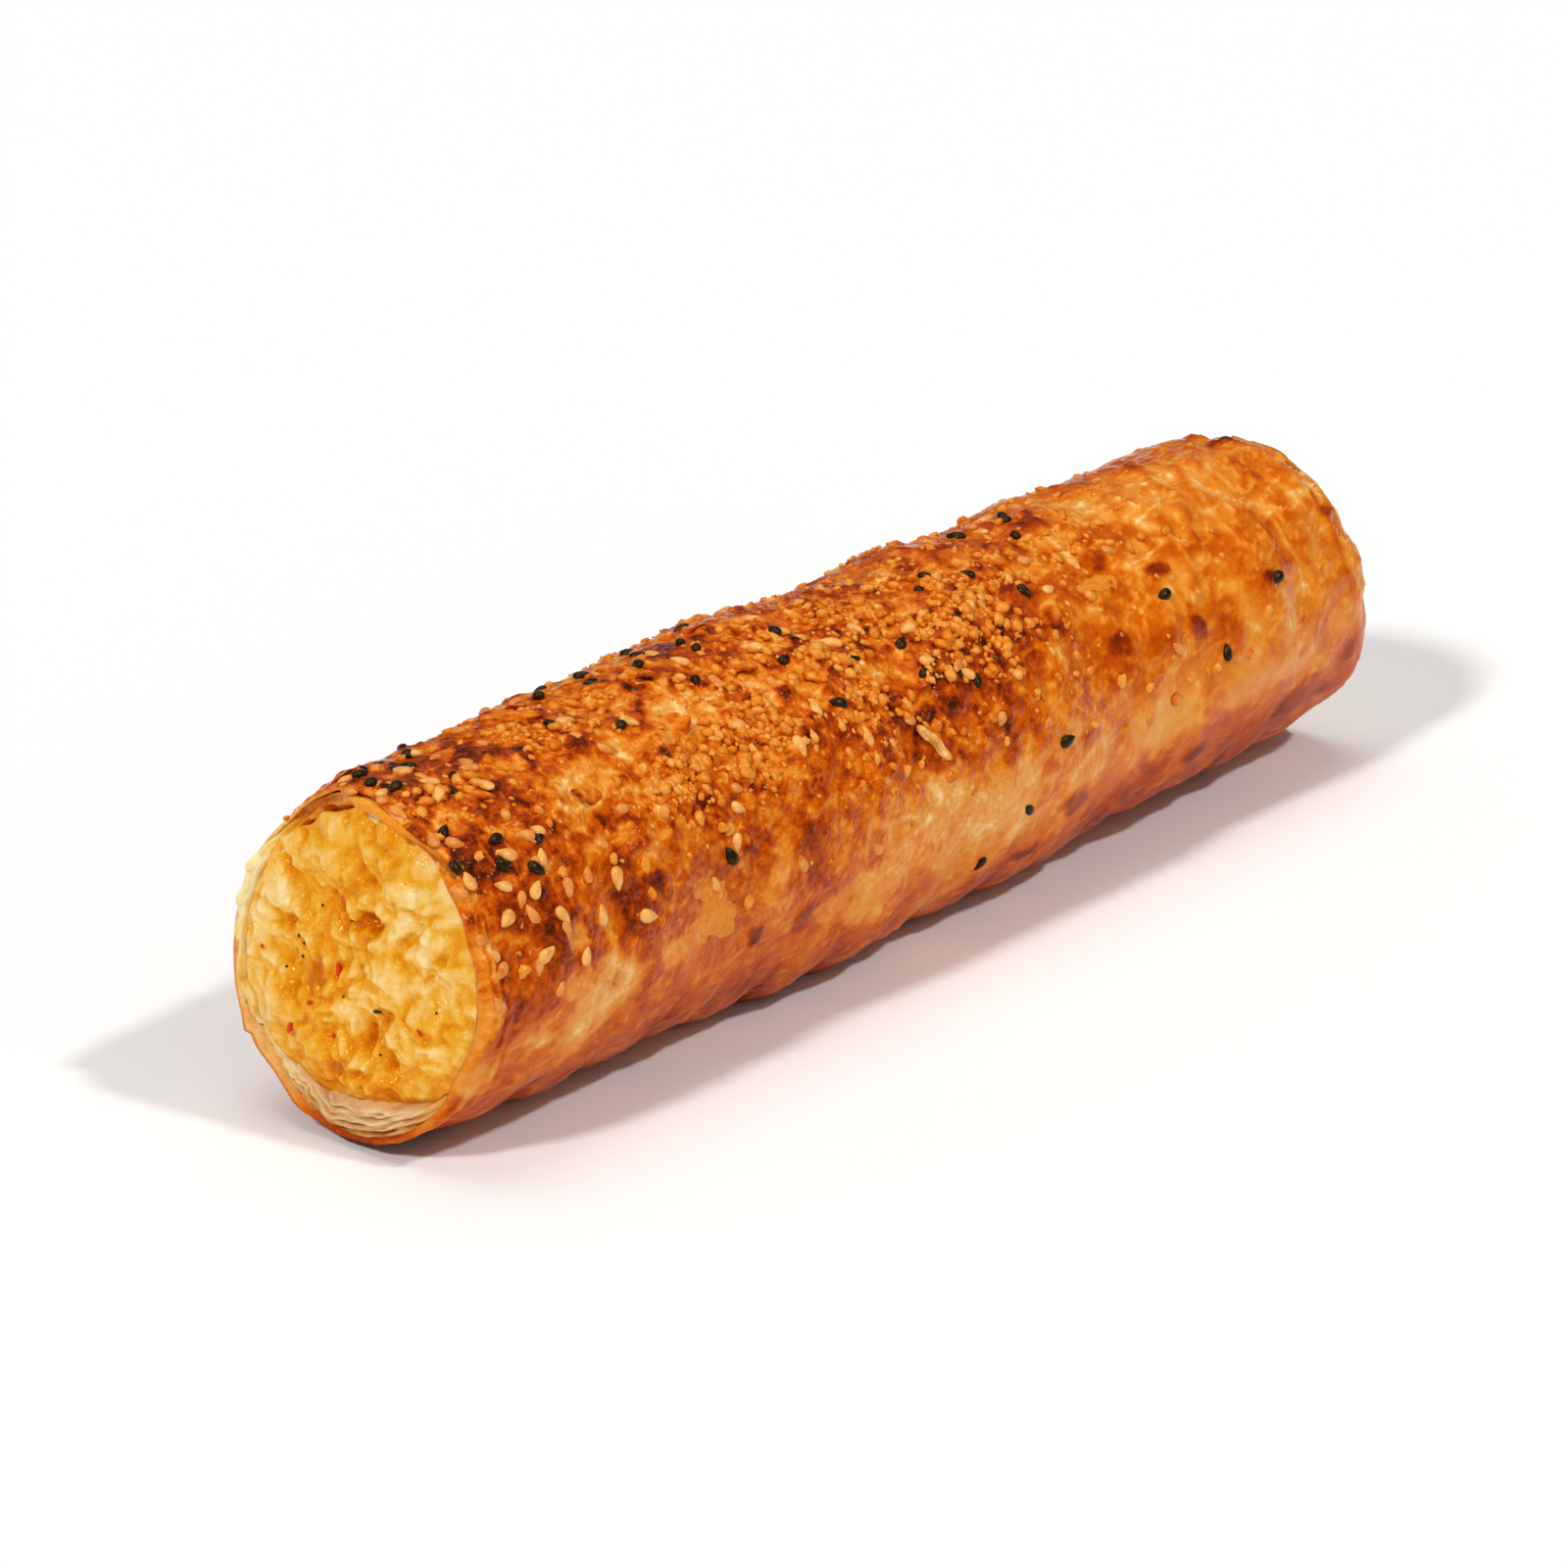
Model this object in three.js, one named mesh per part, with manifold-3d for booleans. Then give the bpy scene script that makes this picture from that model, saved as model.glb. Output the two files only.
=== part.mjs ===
// A potato borek: a baked roll of thin, layered pastry round a potato filling, strewn with
// sesame and black cumin seeds and cut open at both ends.
//
// Millimetres, +Z up. The roll lies along X on its flattened underside, the cut end that shows
// at -X, the origin below its middle. "along" is a distance on X. "around" is an angle about the
// roll's axis: 0 on top, 90 on the -Y side, 180 underneath.

import * as THREE from "three";
import { mergeVertices } from "three/addons/utils/BufferGeometryUtils.js";
import Module from "manifold-3d";

const wasm = await Module();
wasm.setup();

// ---- Sizes ----

const LENGTH = 209;
const HALF = LENGTH / 2;
const RADIUS = 25; // of the crust where the girth is 1
const SUNK = 0.9; // how far the underside has gone flat
const AXIS_HEIGHT = RADIUS - SUNK;
const BORE_RADIUS = 21; // of the filling's space where the girth is 1
const BORE_LIFT = 0.5; // the pastry is thicker underneath
const BORE_SQUASH = 0.7; // and thicker at its top and bottom than at its sides
const GAP = 0.3; // between the pastry and its filling

// The roll's girth, as [along, share of RADIUS].
const GIRTH = [
  [-HALF, 0.935],
  [-88, 0.97],
  [-54, 0.978],
  [-22, 1.018],
  [-5, 0.985],
  [24, 1.005],
  [46, 0.953],
  [62, 0.96],
  [84, 0.932],
  [98, 0.915],
  [HALF, 0.88],
];

// Broad lumps and hollows, as [along, around, height].
const LUMPS = [
  [-92, 20, 0.5],
  [-62, -31, 0.6],
  [-48, 95, -0.7],
  [-31, -31, 1.1],
  [-18, 140, 0.9],
  [-2, 10, -0.6],
  [6, 95, 0.7],
  [28, 140, 0.9],
  [44, 60, -0.7],
  [70, 110, 0.8],
  [86, 20, 0.6],
  [-70, -115, 0.8],
  [-10, -100, -0.8],
  [50, -110, 0.8],
];
const LUMP_SPREAD = 11;

// The crust's crags, which are deepest on top, where it is baked hardest.
const CRAG_HEIGHT = 0.9;
const CRAG_WIDTHS = [11, 6.5];
const CRAG_LEAST = 0.45; // underneath, as a share of the height on top

// The outer sheet's free edge, a low step that runs along the far side.
const SEAM_AROUND = -122;
const SEAM_HEIGHT = 0.9;
const SEAM_FADE = 38; // degrees over which the step dies away

// Both ends are cut at a slant, so that the crust there stands in on one side and out opposite.
const SLANT = 2.4;
const SLANT_AROUND = -30; // the side that stands in
const SLANT_REACH = 20; // how far in from the end the slant dies away

// The cut ends, where the pastry's layers stand at uneven lengths.
const LIP_WAVE = 1.1;
const LIP_REACH = 6; // how far in from the end the waves die away
const LAYER_STEP = 1.2; // how far each inner layer stands back
// Where the outer sheet has lifted off the layers below it, at the near end.
const LIFT = { around: -18, spread: 26, gap: 4, flare: 0.8 };
// Where its edge has torn away: on top, and more widely on the far side.
const TORN = [
  { around: -14, spread: 50, depth: 2.4 },
  { around: -88, spread: 72, depth: 1.4 },
];

// The potato's torn face at each end.
const MASH_SWELL = 0.9; // how far its middle stands out
const MASH_RELIEF = 1.3;
const MASH_WIDTH = 8;

const SEGMENTS = 40; // faces round the roll
const OUTER_STEPS = 52; // along the crust
const INNER_STEPS = 13; // along the filling

// ---- Numbers ----

const clamp = (value, low, high) => Math.min(high, Math.max(low, value));
const radians = (degrees) => (degrees * Math.PI) / 180;
const ease = (t) => t * t * (3 - 2 * t);

// 0 to 1 from three whole numbers, always the same.
function hash(i, j, k) {
  let h = Math.imul(i, 374761393) + Math.imul(j, 668265263) + Math.imul(k, 1442695041);
  h = Math.imul(h ^ (h >>> 13), 1274126177);
  return ((h ^ (h >>> 16)) >>> 0) / 4294967296;
}

// Smooth noise, -1 to 1, of a point, with bumps about `width` across.
function noise(x, y, z, width) {
  const [px, py, pz] = [x / width + 50, y / width + 50, z / width + 50];
  const [i, j, k] = [Math.floor(px), Math.floor(py), Math.floor(pz)];
  const [u, v, w] = [ease(px - i), ease(py - j), ease(pz - k)];
  let sum = 0;
  for (let corner = 0; corner < 8; corner++) {
    const [a, b, c] = [corner & 1, (corner >> 1) & 1, corner >> 2];
    const weight = (a ? u : 1 - u) * (b ? v : 1 - v) * (c ? w : 1 - w);
    sum += weight * hash(i + a, j + b, k + c);
  }
  return 2 * sum - 1;
}

// Numbers drawn in order, 0 to 1.
function drawer(seed) {
  let count = 0;
  return () => hash(seed, count++, 7);
}

// ---- The roll's form ----

function girth(along) {
  const after = GIRTH.findIndex(([place]) => place >= along);
  if (after === 0) return GIRTH[0][1];
  if (after < 0) return GIRTH[GIRTH.length - 1][1];
  const [[from, low], [to, high]] = [GIRTH[after - 1], GIRTH[after]];
  return low + (high - low) * ease((along - from) / (to - from));
}

// The shorter way round from one angle to another, in degrees.
const turn = (from, to) => ((((to - from) % 360) + 540) % 360) - 180;

function lumps(along, around) {
  let height = 0;
  for (const [place, angle, rise] of LUMPS) {
    const across = RADIUS * radians(turn(angle, around));
    const reach = ((along - place) ** 2 + across ** 2) / (2 * LUMP_SPREAD ** 2);
    height += rise * Math.exp(-reach);
  }
  return height;
}

function crags(along, around) {
  const [y, z] = [RADIUS * Math.sin(radians(around)), RADIUS * Math.cos(radians(around))];
  const baked = CRAG_LEAST + (1 - CRAG_LEAST) * ease((1 + Math.cos(radians(around - 15))) / 2);
  const [broad, narrow] = CRAG_WIDTHS;
  const rough = noise(along, y, z, broad) + 0.6 * noise(along, y, z, narrow);
  return CRAG_HEIGHT * baked * rough;
}

function seam(along, around) {
  const past = (around - SEAM_AROUND - 3 * noise(along, 0, 0, 25) + 720) % 360;
  return SEAM_HEIGHT * Math.exp(-past / SEAM_FADE);
}

// 0 to 1: how near a place is to an end, and how much of that end's sheet has lifted.
const nearEnd = (along) => ease(clamp(1 - (HALF - Math.abs(along)) / LIP_REACH, 0, 1));
const lifted = (along, around) =>
  along < 0 ? nearEnd(along) * Math.exp(-((turn(LIFT.around, around) / LIFT.spread) ** 2)) : 0;

const crustRadius = (along, around) =>
  RADIUS * girth(along) +
  lumps(along, around) +
  crags(along, around) +
  seam(along, around) +
  LIFT.flare * lifted(along, around);

const boreRadius = (along, around) =>
  BORE_RADIUS * girth(along) - BORE_SQUASH * Math.cos(2 * radians(around));

// How far back the outer sheet's edge has torn away.
function torn(along, around) {
  if (along > 0) return 0;
  const away = ({ around: middle, spread }) => Math.exp(-((turn(middle, around) / spread) ** 4));
  return nearEnd(along) * TORN.reduce((total, part) => total + part.depth * away(part), 0);
}

// How far in from its place a layer of the cut end stands, for a layer at `share` of the
// pastry's thickness: 0 at the bore, 1 at the crust.
function lipWave(along, around, share) {
  const [y, z] = [12 * Math.sin(radians(around)), 12 * Math.cos(radians(around))];
  const wave = LIP_WAVE * nearEnd(along) * (0.5 + 0.5 * noise(y, z, along + 9 * share, 5));
  if (share < 0.6) return wave;
  return wave + (share < 0.7 ? LIFT.gap * lifted(along, around) : torn(along, around));
}

// Where a point really stands along the roll, once its end is cut at a slant.
function slanted(along, around, radius) {
  const fade = ease(clamp(1 - (HALF - Math.abs(along)) / SLANT_REACH, 0, 1));
  const lean = (radius / RADIUS) * Math.cos(radians(around - SLANT_AROUND));
  return along - Math.sign(along) * SLANT * fade * lean;
}

// ---- Solids ----

// A profile of [along, radius] turned about the roll's axis. place(along, around, radius) gives
// each corner's own [along, radius, height of the centre above the axis].
function turned(profile, place) {
  const points = profile.map(([along, radius]) => new THREE.Vector2(radius, along));
  const geometry = new THREE.LatheGeometry(points, SEGMENTS);
  geometry.deleteAttribute("normal");
  geometry.deleteAttribute("uv");
  const corners = geometry.getAttribute("position");
  for (let i = 0; i < corners.count; i++) {
    const [across, height] = [corners.getX(i), corners.getZ(i)];
    const around = (Math.atan2(across, height) * 180) / Math.PI;
    const [along, radius, lift] = place(corners.getY(i), around, Math.hypot(across, height));
    const y = -radius * Math.sin(radians(around));
    const z = AXIS_HEIGHT + lift + radius * Math.cos(radians(around));
    corners.setXYZ(i, slanted(along, around, radius), y, Math.max(z, 0));
  }
  return geometry;
}

function solidOf(geometry) {
  const whole = mergeVertices(geometry, 1e-3);
  const triVerts = new Uint32Array(whole.index.array);
  const vertProperties = new Float32Array(whole.getAttribute("position").array);
  return new wasm.Manifold(new wasm.Mesh({ numProp: 3, vertProperties, triVerts }));
}

function geometryOf(solid) {
  const { vertProperties, triVerts } = solid.getMesh();
  const geometry = new THREE.BufferGeometry();
  geometry.setAttribute("position", new THREE.BufferAttribute(new Float32Array(vertProperties), 3));
  geometry.setIndex(new THREE.BufferAttribute(new Uint32Array(triVerts), 1));
  geometry.computeVertexNormals();
  return geometry;
}

const between = (from, to, steps) =>
  Array.from({ length: steps + 1 }, (_, i) => from + ((to - from) * i) / steps);

const INSIDE = HALF - 2.6; // where the bore begins, past the layers of the lip

// The end's layers from the crust in to the bore, as [distance from the end, radius].
const wall = RADIUS - BORE_RADIUS;
const LAYERS = [
  [0, BORE_RADIUS + 0.72 * wall],
  [LAYER_STEP, BORE_RADIUS + 0.66 * wall],
  [0.5 * LAYER_STEP, BORE_RADIUS + 0.36 * wall],
  [1.5 * LAYER_STEP, BORE_RADIUS + 0.3 * wall],
];

function pastryShell() {
  const outer = between(-HALF, HALF, OUTER_STEPS).map((along) => [along, RADIUS]);
  const farLip = LAYERS.map(([back, radius]) => [HALF - back, radius]);
  const bore = between(INSIDE, -INSIDE, INNER_STEPS).map((along) => [along, BORE_RADIUS]);
  const nearLip = LAYERS.map(([back, radius]) => [back - HALF, radius]).reverse();
  const profile = [...outer, ...farLip, ...bore, ...nearLip, outer[0]];
  return turned(profile, (along, around, radius) => {
    const share = (radius - BORE_RADIUS) / wall;
    const inner = boreRadius(along, around);
    const own = inner + share * (crustRadius(along, around) - inner);
    const waved = along - Math.sign(along) * lipWave(along, around, share);
    return [waved, own, BORE_LIFT * (1 - share)];
  });
}

// The torn potato: `rise` is how far a point of the face stands out of the end.
function mashRise(end, radius, around) {
  const [y, z] = [radius * Math.sin(radians(around)), radius * Math.cos(radians(around))];
  const x = 40 * end;
  const rough = noise(x, y, z, MASH_WIDTH) + 0.5 * noise(x, y, z, MASH_WIDTH / 2);
  const inside = ease(clamp((BORE_RADIUS - radius) / 5, 0, 1));
  return inside * (MASH_SWELL + MASH_RELIEF * rough);
}

function potatoCore() {
  const rings = between(0, BORE_RADIUS, 9);
  const nearFace = rings.map((radius) => [-INSIDE, radius]);
  const side = between(-INSIDE, INSIDE, INNER_STEPS).map((along) => [along, BORE_RADIUS]);
  const farFace = rings.map((radius) => [INSIDE, radius]).reverse();
  const profile = [...nearFace, ...side.slice(1, -1), ...farFace];
  return turned(profile, (along, around, radius) => {
    const end = Math.abs(along) > INSIDE - 0.01 ? Math.sign(along) : 0;
    const own = (radius / BORE_RADIUS) * (boreRadius(along, around) - GAP);
    return [along + end * mashRise(end, radius, around), own, BORE_LIFT];
  });
}

// ---- Seeds ----

// Where the seeds lie, as {along: [from, to], around: [from, to], black, white}.
const SEED_ZONES = [
  { along: [-101, -79], around: [-26, -5], black: 6, white: 3 },
  { along: [-103, -83], around: [0, 20], black: 3, white: 4 },
  { along: [-103, -98], around: [22, 56], black: 2, white: 1 },
  { along: [-97, -84], around: [36, 58], black: 4, white: 5 },
  { along: [-102, -71], around: [62, 86], black: 0, white: 8 },
  { along: [-59, -24], around: [-27, -3], black: 9, white: 2 },
  { along: [-70, -50], around: [5, 25], black: 2, white: 2 },
  { along: [-42, -8], around: [-3, 32], black: 5, white: 5 },
  { along: [-42, -16], around: [34, 58], black: 1, white: 4 },
  { along: [-58, -46], around: [60, 86], black: 1, white: 3 },
  { along: [8, 25], around: [8, 17], black: 3, white: 0 },
  { along: [-6, 8], around: [16, 54], black: 3, white: 4 },
  { along: [32, 50], around: [-18, 6], black: 4, white: 2 },
  { along: [24, 46], around: [22, 40], black: 1, white: 3 },
  { along: [50, 82], around: [44, 88], black: 3, white: 0 },
  { along: [4, 24], around: [84, 130], black: 3, white: 0 },
  { along: [-98, 92], around: [-82, -36], black: 6, white: 5 },
];

// A seed is a drop: [length, width, thickness].
const BLACK_SEED = [2.7, 1.7, 1.3];
const WHITE_SEED = [3.1, 1.9, 1.0];
const SEED_SIZE_SPREAD = 0.16;
const SEED_HEIGHT = 0.05; // of its middle above the crust

const GOLDEN = 0.618034;

function dropSolid([length, width, thickness]) {
  const geometry = new THREE.IcosahedronGeometry(0.5, 0);
  geometry.deleteAttribute("normal");
  geometry.deleteAttribute("uv");
  const corners = geometry.getAttribute("position");
  for (let i = 0; i < corners.count; i++) {
    const taper = 1.25 - 0.6 * (corners.getX(i) + 0.5);
    corners.setY(i, corners.getY(i) * taper);
  }
  return solidOf(geometry.scale(length, width, thickness));
}

// The places of the seeds of one colour, evenly strewn over each zone.
function seedPlaces(colour) {
  return SEED_ZONES.flatMap((zone, number) => {
    const draw = drawer(colour === "black" ? 100 + number : 200 + number);
    const start = draw();
    return Array.from({ length: zone[colour] }, (_, i) => {
      const [u, v] = [(i + 0.2 + 0.6 * draw()) / zone[colour], (start + i * GOLDEN) % 1];
      return {
        along: zone.along[0] + u * (zone.along[1] - zone.along[0]),
        around: zone.around[0] + v * (zone.around[1] - zone.around[0]),
        heading: 360 * draw(),
        tilt: 24 * (draw() - 0.5),
        size: 1 + SEED_SIZE_SPREAD * (2 * draw() - 1),
      };
    });
  });
}

// A solid turned to lie on the crust, at a height above it.
function laidOn(solid, { along, around, heading, tilt, size }, height) {
  const radius = crustRadius(along, around) + height;
  const matrix = new THREE.Matrix4()
    .makeTranslation(slanted(along, around, radius), 0, AXIS_HEIGHT)
    .multiply(new THREE.Matrix4().makeRotationX(radians(around)))
    .multiply(new THREE.Matrix4().makeTranslation(0, 0, radius))
    .multiply(new THREE.Matrix4().makeRotationZ(radians(heading)))
    .multiply(new THREE.Matrix4().makeRotationY(radians(tilt)))
    .multiply(new THREE.Matrix4().makeScale(size, size, size));
  return solid.transform(matrix.elements);
}

// ---- Flakes of crust and bits in the potato ----

const FLAKE = [5.2, 3.6, 1.0]; // length, width and thickness of a lifted flake of crust
const FLAKE_COUNT = 12;
const FLAKE_HEIGHT = 0.1; // of its middle above the crust

// A pale shred of dough and a curled strip of crust that lie on the roll.
const STRIPS = [
  { size: [8, 1.5, 1.2], height: 0.3, along: -7.2, around: 66.5, heading: -52 },
  { size: [9, 2.4, 1.6], height: 0.4, along: -66.8, around: -8, heading: -58 },
];

// Chilli flakes in the potato's face, as [distance from its middle, around].
const CHILLI = [2.5, 1.0, 0.8];
const CHILLI_PLACES = [
  [4.7, -110],
  [10.7, -130],
  [16.6, -134],
  [14, 115],
];

const slab = (size) => {
  const geometry = new THREE.BoxGeometry(...size);
  geometry.deleteAttribute("normal");
  geometry.deleteAttribute("uv");
  return solidOf(geometry);
};

function flakePlaces() {
  const draw = drawer(31);
  return Array.from({ length: FLAKE_COUNT }, (_, i) => ({
    along: -95 + 80 * ((i + 0.8 * draw()) / FLAKE_COUNT),
    around: -24 + 70 * ((i * GOLDEN) % 1),
    heading: 180 * draw(),
    tilt: 8 + 8 * draw(),
    size: 0.75 + 0.5 * draw(),
  }));
}

function chilliIn(end) {
  const draw = drawer(51);
  return CHILLI_PLACES.map(([radius, around]) => {
    const along = slanted(end * (INSIDE + mashRise(end, radius, around)), around, radius);
    const y = -radius * Math.sin(radians(around));
    const z = AXIS_HEIGHT + BORE_LIFT + radius * Math.cos(radians(around));
    return slab(CHILLI).rotate([0, 78, 0]).rotate([180 * draw(), 0, 0]).translate([along, y, z]);
  });
}

// ---- The two pieces ----

function pastry() {
  let solid = solidOf(pastryShell());
  for (const [colour, size] of [["black", BLACK_SEED], ["white", WHITE_SEED]]) {
    const seed = dropSolid(size);
    for (const place of seedPlaces(colour)) solid = solid.add(laidOn(seed, place, SEED_HEIGHT));
  }
  const flake = dropSolid(FLAKE);
  for (const place of flakePlaces()) solid = solid.add(laidOn(flake, place, FLAKE_HEIGHT));
  for (const { size, height, ...place } of STRIPS) {
    solid = solid.add(laidOn(slab(size), { ...place, tilt: 0, size: 1 }, height));
  }
  return solid;
}

function potatoFilling() {
  let solid = solidOf(potatoCore());
  for (const end of [-1, 1]) for (const bit of chilliIn(end)) solid = solid.add(bit);
  return solid;
}

function mesh(name, solid, color, roughness) {
  const material = new THREE.MeshStandardMaterial({ color, roughness, metalness: 0 });
  const made = new THREE.Mesh(geometryOf(solid), material);
  made.name = name;
  return made;
}

const borek = new THREE.Group();
borek.add(mesh("pastry", pastry(), 0xc67a2e, 0.5));
borek.add(mesh("potato_filling", potatoFilling(), 0xe8c765, 0.55));

export default borek;
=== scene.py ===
"""A potato borek: a baked roll of thin, layered pastry round a potato filling, strewn with sesame
and black cumin seeds and cut open at both ends.

The form is worked out in millimetres by the same rules as the solids, with finer relief on top,
and turned into metres where meshes are made. The roll lies along X. "along" is a distance on X.
"around" is an angle about the roll's axis: 0 on top, 90 on the -Y side, 180 underneath.
"""

import itertools
import math
from types import SimpleNamespace

import bmesh
import bpy
import numpy as np
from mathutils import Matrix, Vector


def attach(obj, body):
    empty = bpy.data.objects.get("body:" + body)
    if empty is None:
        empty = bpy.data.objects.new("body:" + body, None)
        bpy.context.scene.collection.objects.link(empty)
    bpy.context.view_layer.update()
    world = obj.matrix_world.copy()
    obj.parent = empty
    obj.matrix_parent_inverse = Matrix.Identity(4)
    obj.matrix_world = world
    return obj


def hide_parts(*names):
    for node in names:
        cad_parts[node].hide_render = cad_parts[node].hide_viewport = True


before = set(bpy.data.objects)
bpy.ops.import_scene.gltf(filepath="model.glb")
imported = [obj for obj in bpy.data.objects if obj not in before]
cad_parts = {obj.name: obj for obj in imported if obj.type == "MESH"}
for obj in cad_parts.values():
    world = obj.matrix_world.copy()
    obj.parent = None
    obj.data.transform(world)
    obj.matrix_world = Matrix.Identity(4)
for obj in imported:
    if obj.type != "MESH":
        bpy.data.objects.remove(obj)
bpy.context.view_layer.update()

# ---- Sizes of the roll, the same as the solids' ----

LENGTH = 209
HALF = LENGTH / 2
RADIUS = 25  # of the crust where the girth is 1
SUNK = 0.9  # how far the underside has gone flat
AXIS_HEIGHT = RADIUS - SUNK
BORE_RADIUS = 21  # of the filling's space where the girth is 1
BORE_LIFT = 0.5
BORE_SQUASH = 0.7
GAP = 0.3
WALL = RADIUS - BORE_RADIUS
INSIDE = HALF - 2.6  # where the potato's faces stand

# The roll's girth, as (along, share of RADIUS).
GIRTH = [
    (-HALF, 0.935),
    (-88, 0.97),
    (-54, 0.978),
    (-22, 1.018),
    (-5, 0.985),
    (24, 1.005),
    (46, 0.953),
    (62, 0.96),
    (84, 0.932),
    (98, 0.915),
    (HALF, 0.88),
]

# Broad lumps and hollows, as (along, around, height).
LUMPS = [
    (-92, 20, 0.5),
    (-62, -31, 0.6),
    (-48, 95, -0.7),
    (-31, -31, 1.1),
    (-18, 140, 0.9),
    (-2, 10, -0.6),
    (6, 95, 0.7),
    (28, 140, 0.9),
    (44, 60, -0.7),
    (70, 110, 0.8),
    (86, 20, 0.6),
    (-70, -115, 0.8),
    (-10, -100, -0.8),
    (50, -110, 0.8),
]
LUMP_SPREAD = 11

TOP_AROUND = 15  # the middle of the hard-baked top
CRAG_HEIGHT = 0.9
CRAG_WIDTHS = (11, 6.5)
CRAG_LEAST = 0.45
SEAM_AROUND = -122
SEAM_HEIGHT = 0.9
SEAM_FADE = 38
SEAM_STRAY = (3, 25)  # how far it strays, in degrees, and over what length
SLANT = 2.4
SLANT_AROUND = -30
SLANT_REACH = 20
LIP_WAVE = 1.1
LIP_REACH = 6
LIFT_AROUND = -18
LIFT_SPREAD = 26
LIFT_FLARE = 0.8
MASH_SWELL = 0.9
MASH_RELIEF = 1.3
MASH_WIDTH = 8
MASH_EDGE = 5  # how wide the potato's even edge is
MASH_PLACE = 40  # how far off in the noise each of its faces lies
GOLDEN = 0.618034


# ---- Numbers ----


def ease(t):
    return t * t * (3 - 2 * t)


def step(low, high, value):
    """0 below low, 1 above high, and smooth between them."""
    return ease(np.clip((value - low) / (high - low), 0, 1))


def mix(first, second, share):
    return first + (second - first) * share


def hash01(i, j, k):
    """0 to 1 from three whole numbers, always the same."""
    h = (i * 374761393 + j * 668265263 + k * 1442695041) & 0xFFFFFFFF
    h = ((h ^ (h >> 13)) * 1274126177) & 0xFFFFFFFF
    return (h ^ (h >> 16)) / 4294967296


def noise(x, y, z, width):
    """Smooth noise, -1 to 1, of points, with bumps about `width` across."""
    spots = [np.asarray(c, float) / width + 50 for c in (x, y, z)]
    cells = [np.floor(c).astype(np.int64) for c in spots]
    parts = [ease(c - cell) for c, cell in zip(spots, cells)]
    total = 0
    for corner in range(8):
        bits = (corner & 1, (corner >> 1) & 1, corner >> 2)
        weight = 1
        for bit, part in zip(bits, parts):
            weight = weight * (part if bit else 1 - part)
        total = total + weight * hash01(*[cell + bit for cell, bit in zip(cells, bits)])
    return 2 * total - 1


def noises(x, y, z, *parts):
    """The sum of some noises, each given as (strength, width)."""
    return sum(strength * noise(x, y, z, width) for strength, width in parts)


def scatter(x, y, z, width, seed=0):
    """A scatter of spots about `width` apart. For each point it gives how far off the nearest spot
    is, and the height there of a plate about that spot with its own tilt."""
    places = np.stack(np.broadcast_arrays(x, y, z), -1) / width + 50
    home = np.floor(places).astype(np.int64)
    nearest = np.full(home.shape[:-1], 9.0)
    plate = np.zeros_like(nearest)
    for offset in itertools.product((-1, 0, 1), repeat=3):
        i, j, k = (home[..., axis] + offset[axis] for axis in range(3))
        away, lean = 0, 0
        for axis, cell in enumerate((i, j, k)):
            part = cell + hash01(i + 31 * axis, j + seed, k) - places[..., axis]
            away = away + part**2
            lean = lean + part * (hash01(i, j + 17 * axis, k + seed + 5) - 0.5)
        away = np.sqrt(away)
        plate = np.where(away < nearest, lean, plate)
        nearest = np.minimum(away, nearest)
    return nearest, plate


def drawer(seed):
    """Numbers drawn in order, 0 to 1."""
    count = -1

    def draw():
        nonlocal count
        count += 1
        return hash01(seed, count, 7)

    return draw


# ---- The roll's form, as in the solids ----


def girth(along):
    along = np.asarray(along, float)
    places, shares = np.array(GIRTH).T
    after = np.clip(np.searchsorted(places, along), 1, len(places) - 1)
    part = (along - places[after - 1]) / (places[after] - places[after - 1])
    return mix(shares[after - 1], shares[after], ease(np.clip(part, 0, 1)))


def turn(start, end):
    """The shorter way round from one angle to another, in degrees."""
    return (end - start + 180) % 360 - 180


def across(around, angle):
    """The distance over the crust from an angle, in millimetres."""
    return RADIUS * np.radians(turn(angle, around))


def bell(around, middle, spread, power=2):
    """1 at an angle and falling to 0 on both sides of it. A higher power has a flatter top."""
    return np.exp(-((turn(middle, around) / spread) ** power))


def ring(around, radius=RADIUS):
    """A point's Y and Z for the noise, on a circle about the axis."""
    return radius * np.sin(np.radians(around)), radius * np.cos(np.radians(around))


def lumps(along, around):
    height = 0
    for place, angle, rise in LUMPS:
        reach = ((along - place) ** 2 + across(around, angle) ** 2) / (2 * LUMP_SPREAD**2)
        height = height + rise * np.exp(-reach)
    return height


def crags(along, around):
    baked = mix(CRAG_LEAST, 1, ease((1 + np.cos(np.radians(around - TOP_AROUND))) / 2))
    broad, narrow = CRAG_WIDTHS
    return CRAG_HEIGHT * baked * noises(along, *ring(around), (1, broad), (0.6, narrow))


def seam(along, around):
    stray, length = SEAM_STRAY
    past = (around - SEAM_AROUND - stray * noise(along, 0, 0, length) + 720) % 360
    return SEAM_HEIGHT * np.exp(-past / SEAM_FADE)


def closeness(along, reach):
    """1 at either end, and down to 0 at a distance from it."""
    return np.clip(1 - (HALF - np.abs(along)) / reach, 0, 1)


def near_end(along):
    """0 to 1: how near a place is to either end."""
    return ease(closeness(along, LIP_REACH))


def lifted(along, around):
    """0 to 1: how far the outer sheet has come away there, at the near end."""
    return np.where(along < 0, near_end(along) * bell(around, LIFT_AROUND, LIFT_SPREAD), 0)


def crust_radius(along, around):
    form = lumps(along, around) + crags(along, around) + seam(along, around)
    return RADIUS * girth(along) + form + LIFT_FLARE * lifted(along, around)


def bore_radius(along, around):
    return BORE_RADIUS * girth(along) - BORE_SQUASH * np.cos(2 * np.radians(around))


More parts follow.
